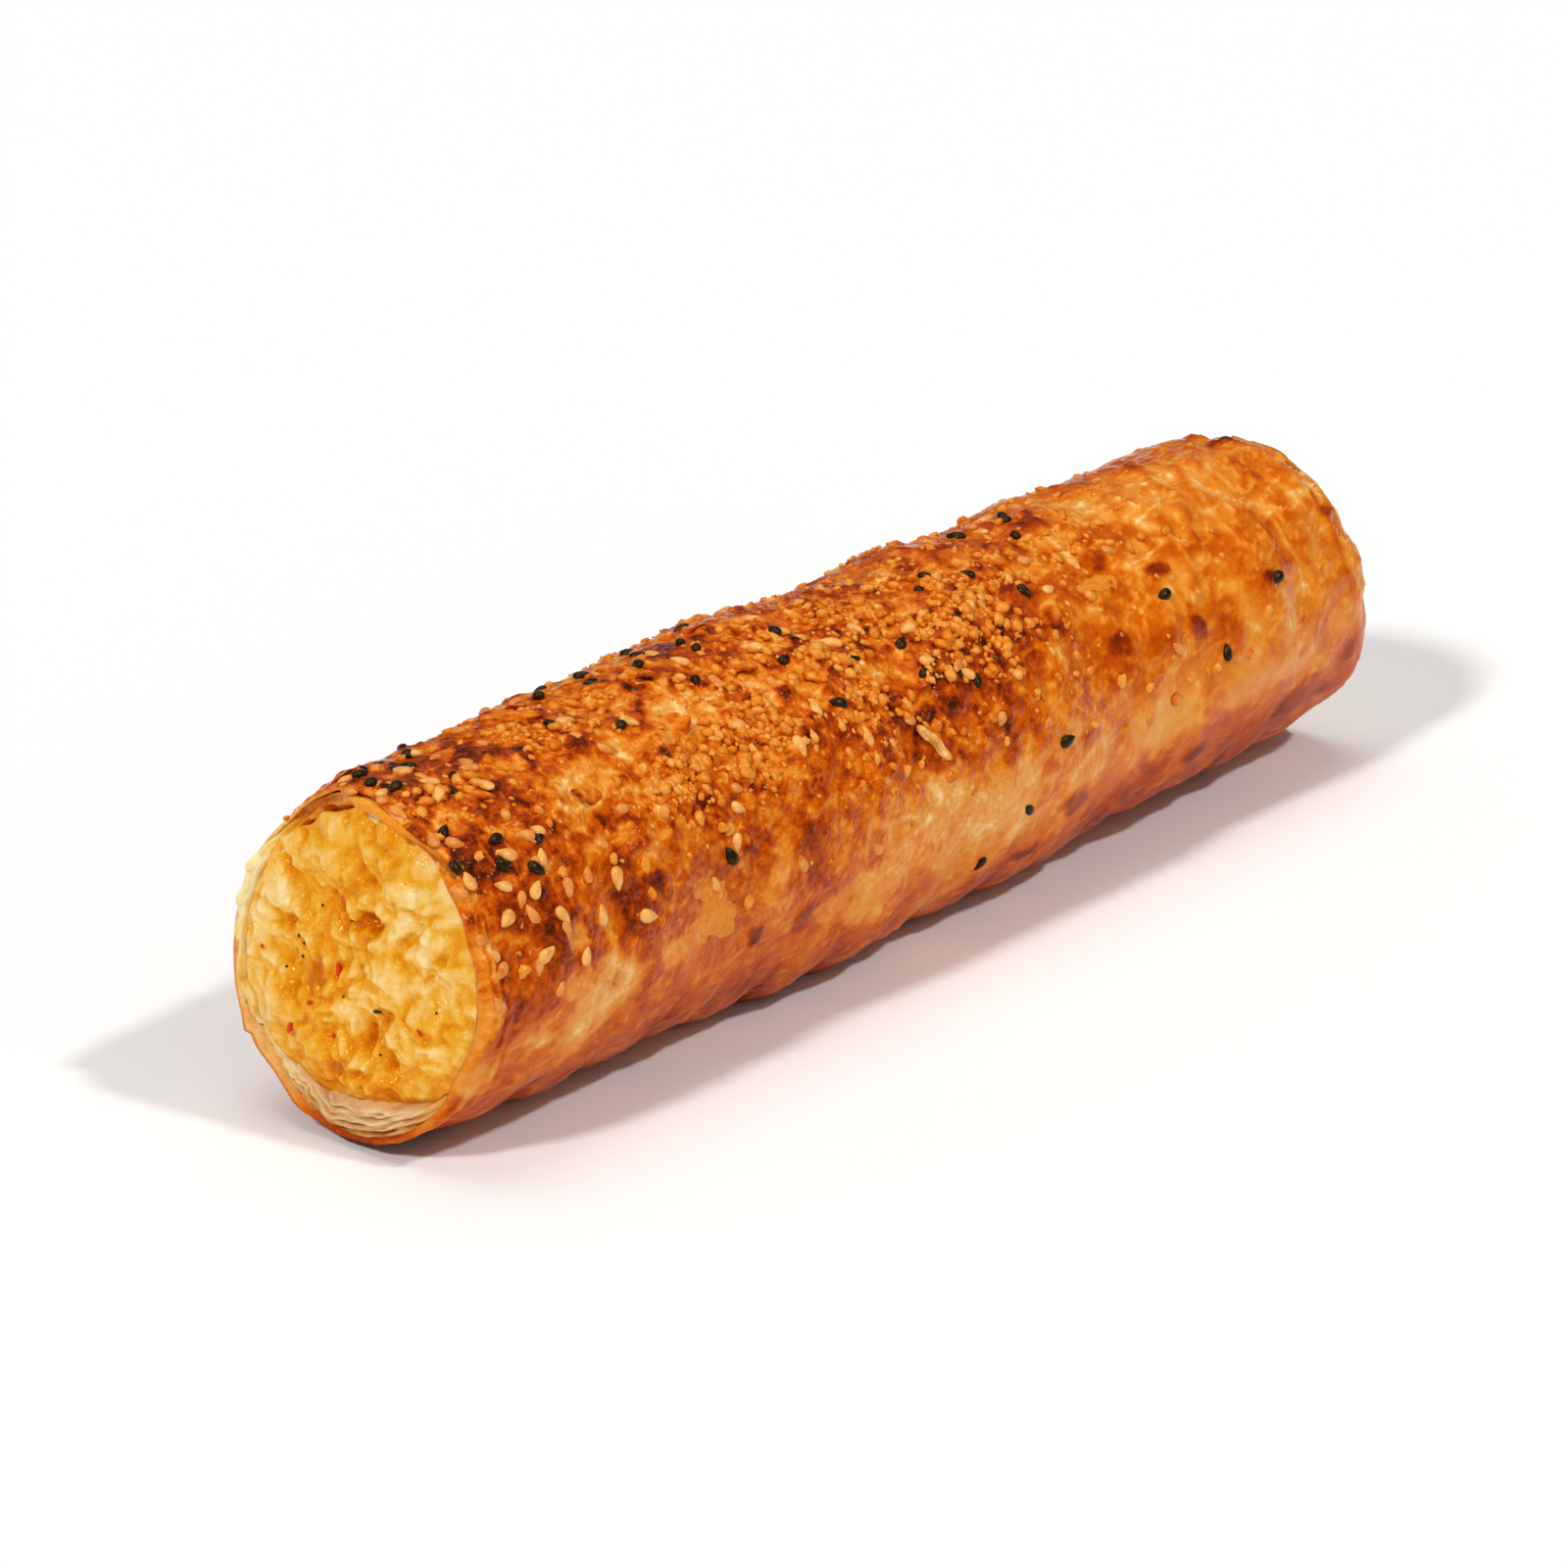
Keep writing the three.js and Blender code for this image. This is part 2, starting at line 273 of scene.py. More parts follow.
def lip_wave(along, around, share):
    """How far in from its place a layer of the cut end stands."""
    y, z = ring(around, 12)
    return LIP_WAVE * near_end(along) * (0.5 + 0.5 * noise(y, z, along + 9 * share, 5))


def mash_rise(end, radius, around):
    rough = noises(MASH_PLACE * end, *ring(around, radius), (1, MASH_WIDTH), (0.5, MASH_WIDTH / 2))
    inside = ease(np.clip((BORE_RADIUS - radius) / MASH_EDGE, 0, 1))
    return inside * (MASH_SWELL + MASH_RELIEF * rough)


def slant(along, around, radius):
    """How far in from its place a point near a cut end stands, as both are cut at a slant."""
    fade = ease(closeness(along, SLANT_REACH))
    return SLANT * fade * (radius / RADIUS) * np.cos(np.radians(around - SLANT_AROUND))


def placed(along, around, radius, lift=0):
    """Points in space, in millimetres, no lower than the surface the roll lies on."""
    y, z = ring(around, radius)
    height = AXIS_HEIGHT + lift + z
    place = along - np.sign(along) * slant(along, around, radius)
    return np.stack(np.broadcast_arrays(place, -y, np.maximum(height, 0)), -1)


# ---- Camera and light ----

PHOTO_SIZE = 1600  # pixels
FOCAL_PIXELS = 7894.4
SENSOR = 36
CAMERA_AZIMUTH = -51.898
CAMERA_ELEVATION = 20.475
CAMERA_DISTANCE = 1.1014
CAMERA_TARGET = Vector((-0.00524, 0.00479, 0.02096))

# Soft lights, as (name, azimuth, elevation, strength, how wide the light is in degrees).
LIGHTS = [
    ("key", -90, 42, 1.6, 7),
    ("glint", 14, 50, 1.1, 4),
    ("fill", -20, 34, 0.25, 50),
    ("top", 150, 76, 0.85, 45),
]
LIGHT_DISTANCE = 1
WORLD_STRENGTH = 0.17
WORLD_COLOUR = (1, 0.93, 0.8, 1)
FLOOR_SIZE = 6
FLOOR_DROP = 0.0001  # how far it lies under the roll
FLOOR_COLOUR = (0.94, 0.94, 0.95, 1)
FLOOR_ROUGHNESS = 0.9
FLOOR_SHINE = 0.1


def direction(azimuth, elevation):
    """The unit vector from the roll towards a camera or a light."""
    a, e = math.radians(azimuth), math.radians(elevation)
    return Vector((math.sin(a) * math.cos(e), -math.cos(a) * math.cos(e), math.sin(e)))


def aim(thing, azimuth, elevation, distance):
    away = direction(azimuth, elevation)
    thing.location = CAMERA_TARGET + away * distance
    thing.rotation_euler = (-away).to_track_quat("-Z", "Y").to_euler()


def add_object(name, data):
    thing = bpy.data.objects.new(name, data)
    bpy.context.scene.collection.objects.link(thing)
    return thing


def add_camera():
    data = bpy.data.cameras.new("camera")
    data.sensor_width = SENSOR
    data.lens = FOCAL_PIXELS / PHOTO_SIZE * SENSOR
    data.clip_end = 20
    camera = add_object("camera", data)
    aim(camera, CAMERA_AZIMUTH, CAMERA_ELEVATION, CAMERA_DISTANCE)
    bpy.context.scene.camera = camera


def light_scene():
    for name, azimuth, elevation, strength, width in LIGHTS:
        data = bpy.data.lights.new(name, "SUN")
        data.energy = strength
        data.angle = math.radians(width)
        aim(add_object(name, data), azimuth, elevation, LIGHT_DISTANCE)
    world = bpy.data.worlds.new("studio")
    world.use_nodes = True
    background = world.node_tree.nodes["Background"]
    background.inputs["Color"].default_value = WORLD_COLOUR
    background.inputs["Strength"].default_value = WORLD_STRENGTH
    bpy.context.scene.world = world
    bpy.context.scene.view_settings.view_transform = "Standard"


def add_floor():
    bpy.ops.mesh.primitive_plane_add(size=FLOOR_SIZE)
    floor = bpy.context.object
    floor.name = "floor"
    floor.location.z = -FLOOR_DROP
    material = new_material("floor")
    shader = material.node_tree.nodes["Principled BSDF"]
    shader.inputs["Base Color"].default_value = FLOOR_COLOUR
    shader.inputs["Roughness"].default_value = FLOOR_ROUGHNESS
    shader.inputs["Specular IOR Level"].default_value = FLOOR_SHINE
    floor.data.materials.append(material)


# ---- Materials ----


def linear(*shares):
    """A colour given as 0 to 255 on a screen, as the renderer's linear red, green, blue, alpha."""
    values = [s / 255 for s in shares]
    return (*[v / 12.92 if v < 0.04045 else ((v + 0.055) / 1.055) ** 2.4 for v in values], 1)


def new_material(name):
    material = bpy.data.materials.new(name)
    material.use_nodes = True
    return material


class Nodes:
    """A new material's nodes, with short calls to add and join them."""

    def __init__(self, name):
        self.material = new_material(name)
        self.tree = self.material.node_tree
        self.shader = self.tree.nodes["Principled BSDF"]
        self.coordinates = self.tree.nodes.new("ShaderNodeTexCoord").outputs["Object"]
        self.set(Specular_Tint=WARM)

    def join(self, source, target):
        if isinstance(source, bpy.types.NodeSocket):
            self.tree.links.new(source, target)
        else:
            target.default_value = source

    def add(self, kind, **inputs):
        """A new node, with some of its inputs set or joined."""
        node = self.tree.nodes.new("ShaderNode" + kind)
        for name, source in inputs.items():
            self.join(source, node.inputs[name])
        return node

    def attribute(self, name):
        node = self.add("Attribute")
        node.attribute_name = name
        return node.outputs["Fac"]

    def noise(self, width, detail=3, roughness=0.6):
        """Noise of bumps about `width` millimetres across, 0 to 1."""
        sizes = {"Scale": 1000 / width, "Detail": detail, "Roughness": roughness}
        return self.add("TexNoise", Vector=self.coordinates, **sizes).outputs["Fac"]

    def spots(self, width):
        """Distance from the middle of the nearest grain, for grains `width` millimetres across."""
        node = self.add("TexVoronoi", Vector=self.coordinates, Scale=1000 / width)
        return node.outputs["Distance"]

    def math(self, kind, first, second, clamp=False):
        node = self.add("Math")
        node.operation = kind
        node.use_clamp = clamp
        self.join(first, node.inputs[0])
        self.join(second, node.inputs[1])
        return node.outputs[0]

    def total(self, *values):
        """The sum of some values, kept within 0 and 1."""
        result = values[0]
        for value in values[1:-1]:
            result = self.math("ADD", result, value)
        return self.math("ADD", result, values[-1], clamp=True)

    def swing(self, value, amount):
        """A value of 0 to 1 turned into one of -amount to +amount."""
        return self.math("MULTIPLY", self.math("SUBTRACT", value, 0.5), 2 * amount)

    def ramp(self, value, stops):
        """Colours along a value, as (place, red, green, blue)."""
        node = self.add("ValToRGB", Fac=value)
        elements = node.color_ramp.elements
        while len(elements) < len(stops):
            elements.new(0.5)
        for element, (place, *colour) in zip(elements, stops):
            element.position = place
            element.color = linear(*colour)
        return node.outputs["Color"]

    def blend(self, share, first, second):
        """A colour between two others."""
        node = self.add("Mix")
        node.data_type = "RGBA"
        inputs = [socket for socket in node.inputs if socket.enabled]
        for source, target in zip((share, first, second), inputs):
            self.join(source, target)
        return next(socket for socket in node.outputs if socket.enabled)

    def bump(self, height, strength, distance):
        """Relief too fine for the mesh. distance is in millimetres."""
        node = self.add("Bump", Height=height, Strength=strength, Distance=distance / 1000)
        self.set(Normal=node.outputs["Normal"])

    def soften(self, weight, depth, tint):
        """Lets some light go about `depth` millimetres in and come out again tinted."""
        self.set(Subsurface_Weight=weight, Subsurface_Scale=depth / 1000, Subsurface_Radius=tint)

    def set(self, **inputs):
        """Sets or joins inputs of the shader, with _ for a space in their names."""
        for name, source in inputs.items():
            self.join(source, self.shader.inputs[name.replace("_", " ")])


# The crust's colours as it bakes, from raw dough to burnt.
BAKED = [
    (0.0, 248, 208, 140),
    (0.15, 234, 161, 72),
    (0.3, 228, 133, 32),
    (0.45, 208, 96, 6),
    (0.58, 182, 68, 3),
    (0.7, 140, 43, 3),
    (0.82, 84, 25, 4),
    (1.0, 26, 10, 6),
]
# The dough's colours as it bakes, where it is soft and where it is in thin clear sheets.
SOFT_DOUGH = [
    (0.0, 254, 232, 178),
    (0.22, 252, 212, 128),
    (0.45, 242, 178, 58),
    (0.7, 226, 128, 14),
    (1.0, 150, 56, 6),
]
CLEAR_DOUGH = [
    (0.0, 244, 216, 176),
    (0.3, 212, 158, 96),
    (0.6, 178, 104, 40),
    (1.0, 112, 46, 8),
]
# The potato's colours, from pale to deep.
POTATO = [
    (0.0, 253, 224, 160),
    (0.28, 248, 200, 108),
    (0.5, 241, 176, 44),
    (0.72, 234, 148, 6),
    (1.0, 206, 104, 0),
]
WARM = (1.0, 0.7, 0.28, 1)  # the tint of a buttery gloss


def crust_material():
    n = Nodes("baked_crust")
    crisp = n.attribute("crisp")
    fine = n.math("MULTIPLY", n.swing(n.noise(0.8, 4, 0.65), 0.28), crisp)
    bake = n.total(n.attribute("bake"), fine, n.swing(n.noise(3.5, 4), 0.16))
    dull = n.total(n.attribute("dull"), n.swing(n.noise(2.4), 0.2))
    relief = n.math("SUBTRACT", n.noise(1.3, 1.5, 0.45), n.math("MULTIPLY", n.spots(1.5), 0.6))
    n.bump(n.math("MULTIPLY", relief, crisp), 0.7, 0.6)
    n.set(Base_Color=n.ramp(bake, BAKED), Roughness=dull, Specular_IOR_Level=0.18)
    n.soften(0.1, 0.8, (1.0, 0.4, 0.1))
    return n.material


def crumb_material():
    """The golden grains that the crust has broken into."""
    n = Nodes("golden_crumbs")
    bake = n.total(n.attribute("bake"), n.swing(n.noise(0.8), 0.16))
    n.bump(n.noise(0.4), 0.35, 0.12)
    n.set(Base_Color=n.ramp(bake, BAKED), Roughness=0.2, Specular_IOR_Level=0.4)
    n.soften(0.15, 0.6, (1.0, 0.45, 0.12))
    return n.material


def dough_material():
    n = Nodes("layered_dough")
    bake = n.total(n.attribute("bake"), n.swing(n.noise(1.4, 4), 0.1), n.swing(n.noise(0.4), 0.06))
    both = n.blend(n.attribute("clear"), n.ramp(bake, SOFT_DOUGH), n.ramp(bake, CLEAR_DOUGH))
    n.bump(n.noise(0.6, 4, 0.7), 0.4, 0.2)
    n.set(Base_Color=both, Roughness=0.3, Specular_IOR_Level=0.35)
    n.soften(0.3, 1.5, (1.0, 0.65, 0.3))
    return n.material


def potato_material():
    n = Nodes("mashed_potato")
    shade = n.total(n.attribute("shade"), n.swing(n.noise(2.4, 4), 0.2), n.swing(n.noise(0.7), 0.18))
    dull = n.total(n.swing(n.noise(1.8), 0.2), 0.2)
    n.bump(n.noise(1.2, 2, 0.5), 0.8, 0.6)
    n.set(Base_Color=n.ramp(shade, POTATO), Roughness=dull, Specular_IOR_Level=0.35)
    n.soften(0.3, 1, (1.0, 0.6, 0.15))
    return n.material


def speckled_material(name, dark, light, width, roughness):
    """A small thing's colour, which wanders between two."""
    n = Nodes(name)
    colour = n.ramp(n.noise(width), [(0.3, *dark), (0.7, *light)])
    n.bump(n.noise(width / 3), 0.25, 0.08)
    n.set(Base_Color=colour, Roughness=roughness, Specular_IOR_Level=0.3)
    return n.material


# ---- Meshes ----


def add_piece(name, form, material, values=None):
    """A smooth mesh from a form (points in millimetres, faces), riding with the roll."""
    points, faces = form
    mesh = bpy.data.meshes.new(name)
    mesh.from_pydata((points / 1000).tolist(), [], faces)
    mesh.validate()
    mesh.polygons.foreach_set("use_smooth", [True] * len(mesh.polygons))
    for key, numbers in (values or {}).items():
        layer = mesh.attributes.new(key, "FLOAT", "POINT")
        layer.data.foreach_set("value", np.ascontiguousarray(numbers, np.float32).ravel())
    mesh.materials.append(material)
    piece = add_object(name, mesh)
    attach(piece, "root")
    return piece


def grid_faces(rows, columns, wrap_rows=False):
    """Quads over a grid of points whose columns close on themselves, as its rows may do too."""
    i = np.arange(rows if wrap_rows else rows - 1)[:, None]
    j = np.arange(columns)[None, :]
    below, beside = (i + 1) % rows, (j + 1) % columns
    corners = (i * columns + j, below * columns + j, below * columns + beside, i * columns + beside)
    return np.stack(np.broadcast_arrays(*corners), -1).reshape(-1, 4)


def merged(parts):
    """One (points, faces) made of several."""
    points = [own for own, _ in parts]
    starts = np.cumsum([0] + [len(own) for own in points[:-1]])
    faces = [own + start for (_, own), start in zip(parts, starts)]
    return np.concatenate(points), np.concatenate(faces)


def ball(level):
    """The points and triangles of a round ball one unit across."""
    mesh = bmesh.new()
    bmesh.ops.create_icosphere(mesh, subdivisions=level, radius=0.5)
    points = np.array([v.co[:] for v in mesh.verts])
    faces = np.array([[v.index for v in f.verts] for f in mesh.faces])
    mesh.free()
    return points, faces


def turned(axis, degrees):
    """Rotation matrices about an axis (0, 1 or 2), one for each angle."""
    angles = np.radians(np.asarray(degrees, float))
    cos, sin = np.cos(angles), np.sin(angles)
    matrix = np.zeros((*angles.shape, 3, 3))
    a, b = (axis + 1) % 3, (axis + 2) % 3
    matrix[..., axis, axis] = 1
    matrix[..., a, a] = matrix[..., b, b] = cos
    matrix[..., b, a] = sin
    matrix[..., a, b] = -sin
    return matrix


def strewn(template, matrices, places):
    """Copies of a template (points, faces), each turned by a matrix and moved to a place. The
    template's points may differ from copy to copy."""
    points, faces = template
    points = np.broadcast_to(points, (len(places), *points.shape[-2:]))
    copies = np.einsum("nij,nkj->nki", matrices, points) + np.asarray(places)[:, None, :]
    joined = faces[None] + points.shape[1] * np.arange(len(places))[:, None, None]
    return copies.reshape(-1, 3), joined.reshape(-1, faces.shape[1])


# ---- The crust's look ----

# Pale, smooth places where the sheet stayed soft, as (along, around, half length, half width in
# millimetres, strength).
PALE = [
    (-82, 101, 12, 6.5, 1.0),
    (-66, 97, 4.5, 2.2, 0.8),
    (-56, 95, 5.5, 2.4, 0.65),
    (-43, 83, 3.2, 4.2, 1.0),
    (-86.5, 76, 2.2, 2.2, 0.9),
    (-78, 57, 3, 2.2, 0.5),
    (-46, 27, 9, 5, 0.55),
    (-68, 31, 7, 3, 0.4),
    (-24, 108, 10, 5.5, 0.8),
    (-6, 82, 5, 3.4, 0.6),
    (9, 95, 10, 7, 0.95),
    (35, 52, 5, 3.5, 0.35),
    (49, 97, 9, 5.5, 0.85),
    (72, 95, 11, 5, 0.75),
    (93, 90, 6, 3, 0.5),
    (-101, 120, 4, 5, 0.9),
    (-60, -78, 9, 5, 0.7),
    (-12, -95, 12, 5, 0.7),
    (38, -80, 12, 6, 0.7),
    (82, -100, 9, 5, 0.6),
]

# Dark, hard-baked places, as the pale ones.
BURNT = [
    (-66, -9, 3.2, 2.4, 0.85),
    (-67, 18, 2.2, 1.6, 1.0),
    (-85, 21, 2.6, 1.7, 0.9),
    (-91, 12, 5, 1.5, 0.7),
    (-85, -10, 3, 2, 0.65),
    (-96, -12, 4, 2, 0.6),
    (-75, 10, 2.4, 1.4, 0.6),
    (-100, 38, 2.4, 5, 0.4),
    (-97, 56, 2.8, 4.5, 0.45),
    (-91, 65, 3.4, 1.4, 0.5),
    (-84, 84, 4, 1.3, 0.4),
    (-73, 70, 2.4, 1.4, 0.35),
    (-47, 106, 1.9, 1.9, 0.8),
    (-37, 106, 2.6, 2.6, 0.6),
    (-38, 74, 1.6, 2.4, 0.35),
    (-36, -14, 7, 2, 0.5),
    (-17, 8, 2, 5, 0.45),
    (-12, 47, 5, 2, 0.35),
    (7, 48, 6, 4, 0.35),
    (26, 109, 4, 2.6, 0.65),
    (28, 87, 3.4, 2, 0.45),
    (18, 125, 3.4, 1.6, 0.7),
    (27, 26, 2.2, 1.6, 0.6),
    (47, 30, 3, 2.2, 0.5),
    (45, 2, 3.2, 1.9, 0.65),
    (56, 44, 2.8, 1.6, 0.75),
    (41, 63, 3.4, 2.2, 0.6),
    (57.5, 68, 2.4, 2.4, 0.8),
    (77, 62, 2.8, 1.7, 0.85),
    (58, 115, 3.4, 2.2, 0.8),
    (91, 24, 1.8, 1.6, 0.5),
    (96, -1, 3.2, 1.7, 0.8),
    (100, 48, 2.6, 1.5, 0.6),
    (88, 117, 7, 4, 0.55),
    (-70, -55, 3, 2.2, 0.7),
    (-30, -60, 3.2, 2, 0.6),
    (15, -50, 3, 2.4, 0.7),
    (60, -60, 3.4, 2, 0.6),
]

# Where the crust has broken into golden grains, as the pale places.
GRAINY = [
    (-24, 33, 26, 11, 1.0),
    (-52, 47, 16, 6, 0.9),
    (-90, 10, 16, 8, 0.8),
    (-60, 4, 18, 6, 0.7),
    (10, 38, 18, 13, 0.95),
    (38, 20, 18, 9, 0.6),
    (-5, 12, 20, 8, 0.7),
    (-40, -45, 40, 9, 0.5),
    (40, -40, 40, 9, 0.4),
]

# Where the crust is a little paler or darker than elsewhere, as (along, around, half length, half
# width in millimetres, change).
TINTS = [
    (-46, 27, 10, 5, -0.2),
    (-72, 32, 10, 4, -0.1),
    (-95, 45, 8, 8, 0.08),
    (-84, 4, 16, 7, 0.04),
    (-88, 70, 9, 7, 0.12),
    (-70, 74, 16, 6, 0.08),
    (-84, 116, 20, 8, -0.12),
    (-20, 100, 60, 9, -0.14),
    (60, 96, 40, 9, -0.12),
    (-15, 52, 14, 4, 0.1),
    (0, 70, 18, 5, 0.05),
    (-8, 5, 12, 7, -0.08),
    (20, 75, 20, 4, 0.06),
    (60, 35, 24, 7, 0.07),
    (76, 20, 30, 14, -0.26),
    (58, 66, 22, 12, -0.12),
    (101, 90, 3, 30, -0.08),
    (-103, 90, 2.4, 22, -0.12),
    (-103, -90, 3, 40, -0.4),
    (103, -90, 3, 40, -0.3),
    (-101, 182, 5, 11, 0.45),
]

SHOWN_AROUND = 75  # the middle of the side that the streaks run over
SHOWN_SPREAD = 75
SCALLOP_LENGTH = 12.5
SCALLOP_HEIGHT = 1.2
SCALLOP_AROUND = (150, 20)  # the middle of the arcs and how far they spread
LEDGE_BACK = 4.5  # how far back the top sheet ends at the cut ends
LEDGE_AROUND = (5, 65)
FOLDS_BACK = (11, 4)  # how far behind the near end its folds begin, and are at their full height


def patches(along, around, places):
    """0 to 1: how far inside the nearest of some oval places with ragged edges each point is."""
    ragged = noises(along, *ring(around), (0.3, 4), (0.3, 1.8), (0.15, 0.9))
    inside = 0
    for place, angle, length, width, strength in places:
        away = np.hypot((along - place) / length, across(around, angle) / width)
        inside = np.maximum(inside, strength * (1 - step(0.5, 1.15, away + ragged)))
    return inside


def soft_tint(along, around, places):
    """The sum of some oval places that fade at their edges."""
    total = 0
    for place, angle, length, width, change in places:
        away = ((along - place) / length) ** 2 + (across(around, angle) / width) ** 2
        total = total + change * np.exp(-away)
    return total


def graininess(along, around):
    """0 to 1: how far the crust there has broken into golden grains, in clusters."""
    y, z = ring(around)
    clusters = noise(along, y, z, 7) + 0.7 * noise(along + 5, y, z, 3)
    zone = np.clip(soft_tint(along, around, GRAINY), 0, 1)
    smooth = patches(along, around, PALE)
    return zone * step(-0.75, 0.25, clusters) * (1 - smooth)


def streaks(along, around, slope, length, width):
    """Streaks that run over the side at a slope to the roll, -1 to 1, and fade at its back."""
    side = across(around, SHOWN_AROUND)
    cos, sin = math.cos(math.radians(slope)), math.sin(math.radians(slope))
    run, off = along * cos + side * sin, side * cos - along * sin
    fade = bell(around, SHOWN_AROUND, SHOWN_SPREAD)
    return fade * noise(run * width / length, off, 9 * slope, width)


def ledges(along, around):
    """(height, edge) of the top sheet that ends just short of the cut ends."""
    wander = noises(0, *ring(around), (2.0, 9), (0.9, 2.6))
    past = HALF - np.abs(along) - LEDGE_BACK - wander
    over = bell(around, *LEDGE_AROUND)
    height = -0.4 * over * (1 - step(-0.2, 0.2, past))
    return height, over * step(-0.2, 0.2, past) * (1 - step(0.2, 2.4, past))


def rim_lines(along, around):
    """Thin folds that run round the roll just behind its near end, -1 to 1."""
    y, z = ring(around)
    start, full = FOLDS_BACK
    band = step(HALF - start, HALF - full, -along) * stretch(around, FUSED)
    return band * noise(along + 0.9 * noise(along, y, z, 6), 0.1 * y, 0.1 * z, 0.9)


def scallops(along, around):
    """(height, where to paint shade) of the full arcs with sharp notches that end the side near the
    floor.
    """
    arc = np.abs(np.sin(math.pi * (along + 2.5 * noise(along, 0, 0, 16)) / SCALLOP_LENGTH))
    low = bell(around, *SCALLOP_AROUND)
    return SCALLOP_HEIGHT * low * (arc - 0.64), low * (1 - step(0.1, 0.45, arc))


def warped(along, around, amount, width):
    """Points of the crust moved about a little, for ragged outlines."""
    y, z = ring(around)
    x = along + amount * noise(along, y, z, width)
    return x, y + amount * noise(along + 11, y, z, width), z + amount * noise(along + 23, y, z, width)


def veins(x, y, z, width, thickness):
    """0 to 1: thin curved lines, some way apart."""
    return 1 - step(0, thickness, np.abs(noise(x, y, z, width)))


def dome(off, radius):
    """0 to 1: round bumps of a radius about spots that lie `off` away."""
    return np.sqrt(np.clip(1 - (off / radius) ** 2, 0, 1))


def crispness(along, around):
    """How strong the finest relief is: the crust is smoother towards the far end and low down."""
    return (1 - 0.6 * step(0, 55, along)) * (1 - 0.45 * step(70, 110, np.abs(turn(0, around))))


def crust_forms(along, around):
    """What the crust's relief and colour are made of, place by place."""
    y, z = ring(around)
    swirl = warped(along, around, 2.2, 6)
    ragged = warped(along, around, 0.9, 2.2)
    crisp = crispness(along, around)
    f = SimpleNamespace()
    f.top = bell(around, TOP_AROUND, 60)
    f.off_top = np.abs(turn(0, around))
    f.pale = patches(along, around, PALE)
    f.burnt = patches(along, around, BURNT)
    f.tint = soft_tint(along, around, TINTS)
    f.grainy = graininess(along, around)
    f.ledge, f.ledge_edge = ledges(along, around)
    f.arcs, f.notch = scallops(along, around)
    f.lines = rim_lines(along, around)
    f.plate = scatter(*warped(along, around, 1.6, 3), 8)[1]
    f.blister = dome(scatter(*ragged, 6.5, 3)[0], 0.3) * step(-0.1, 0.2, noise(along, y, z, 12))
    f.grain = dome(scatter(*ragged, 1.7, 6)[0], 0.62)
    f.bubble = dome(scatter(along, y, z, 2.8, 9)[0], 0.27)
    f.wrinkle = 1 - 2 * np.abs(noise(*swirl, 5))
    f.strand = veins(*swirl, 6, 0.07) + veins(*ragged, 3.6, 0.08)
    f.rough = crisp * noises(*ragged, (1, 2.2), (0.6, 1.1))
    f.streak = crisp * (streaks(along, around, 32, 7, 1.1) + 0.7 * streaks(along, around, -18, 6, 0.9))
    f.mottle = 0.1 * noise(along, y, z, 20) + 0.13 * noise(*swirl, 9) + 0.08 * noise(*swirl, 4)
    return f


def crust_height(f):
    """The fine relief on the crust, in millimetres."""
    hard = (1 - 0.65 * f.pale) * (0.3 + 0.7 * f.top)
    craggy = 0.4 * f.plate + 0.3 * f.wrinkle + 0.26 * f.rough + 0.6 * f.blister + 0.15 * f.strand
    height = hard * craggy + (1 - 0.7 * f.pale) * (0.08 * f.streak + 0.16 * f.bubble)
    height = height + 0.6 * f.grainy * (f.grain - 0.4) + 0.4 * f.burnt * (0.6 + 0.5 * f.rough)
    return height + f.ledge + f.arcs + 0.22 * f.lines - 0.18


def crust_bake_and_shade(f):
    """How baked the crust is, from 0 for raw dough to 1 for burnt, with painted shade low down the sides,
    in the notches between the arcs and between the grains, and painted light on the grains' tops.
    """
    bake = 0.45 + f.mottle + (0.1 + 0.15 * f.top) * f.rough + 0.07 * f.streak
    bake = bake - (0.12 + 0.06 * f.top) * f.strand - (0.14 + 0.08 * f.top) * f.bubble
    bake = bake + 0.14 * f.top * step(0.1, 0.8, f.wrinkle) + 0.14 * f.top * f.blister
    # In grainy places the grains are lighter on top and darker in the gaps between them: partly their own
    # colour, partly painted light and shade.
    bake = bake + f.grainy * (0.24 - 0.42 * f.grain) + f.tint
    # Painted shade: darker low down the sides and in the notches between the arcs. The top sheet's edge
    # is browner.
    bake = bake + 0.1 * step(70, 125, f.off_top) + 0.2 * f.notch + 0.22 * f.ledge_edge
    bake = mix(bake, 0.14 + 0.15 * f.rough + 0.4 * f.mottle + 0.06 * f.streak, 0.85 * f.pale)
    bake = mix(bake, 0.8 + 0.12 * f.rough, f.burnt) - 0.2 * f.lines
    return np.clip(bake, 0, 1)


def crust_dull(f):
    """How dull the crust is, glossy on top and duller low down."""
    dull = 0.2 + 0.04 * f.grainy - 0.04 * f.burnt - 0.06 * f.bubble
    return np.clip(dull + 0.22 * step(88, 120, f.off_top), 0.1, 0.9)


# ---- The crust's mesh ----

NEAR_CELL = 0.48  # along the near half of the roll
FAR_CELL = 0.78
NEAR_UP_TO = 5  # where the far cells begin
# Round the roll, as (from, to, cell): finest where it shows, coarse underneath.
AROUND_CELLS = [(-135, -40, 0.85), (-40, 150, 0.44), (150, 225, 1.3)]
SHEET_SHARE = 0.2  # how thick the outer sheet is, as a share of the pastry
SHEET_INSIDE = (0, 3, 12)  # where the points of its inside lie, from either end
LIP_BEND = 3  # how much of the crust bends in at a cut end
LIP_FALL = 1.3  # how far its edge comes in
END_RING = 15  # the circle that noise round the ends is read on

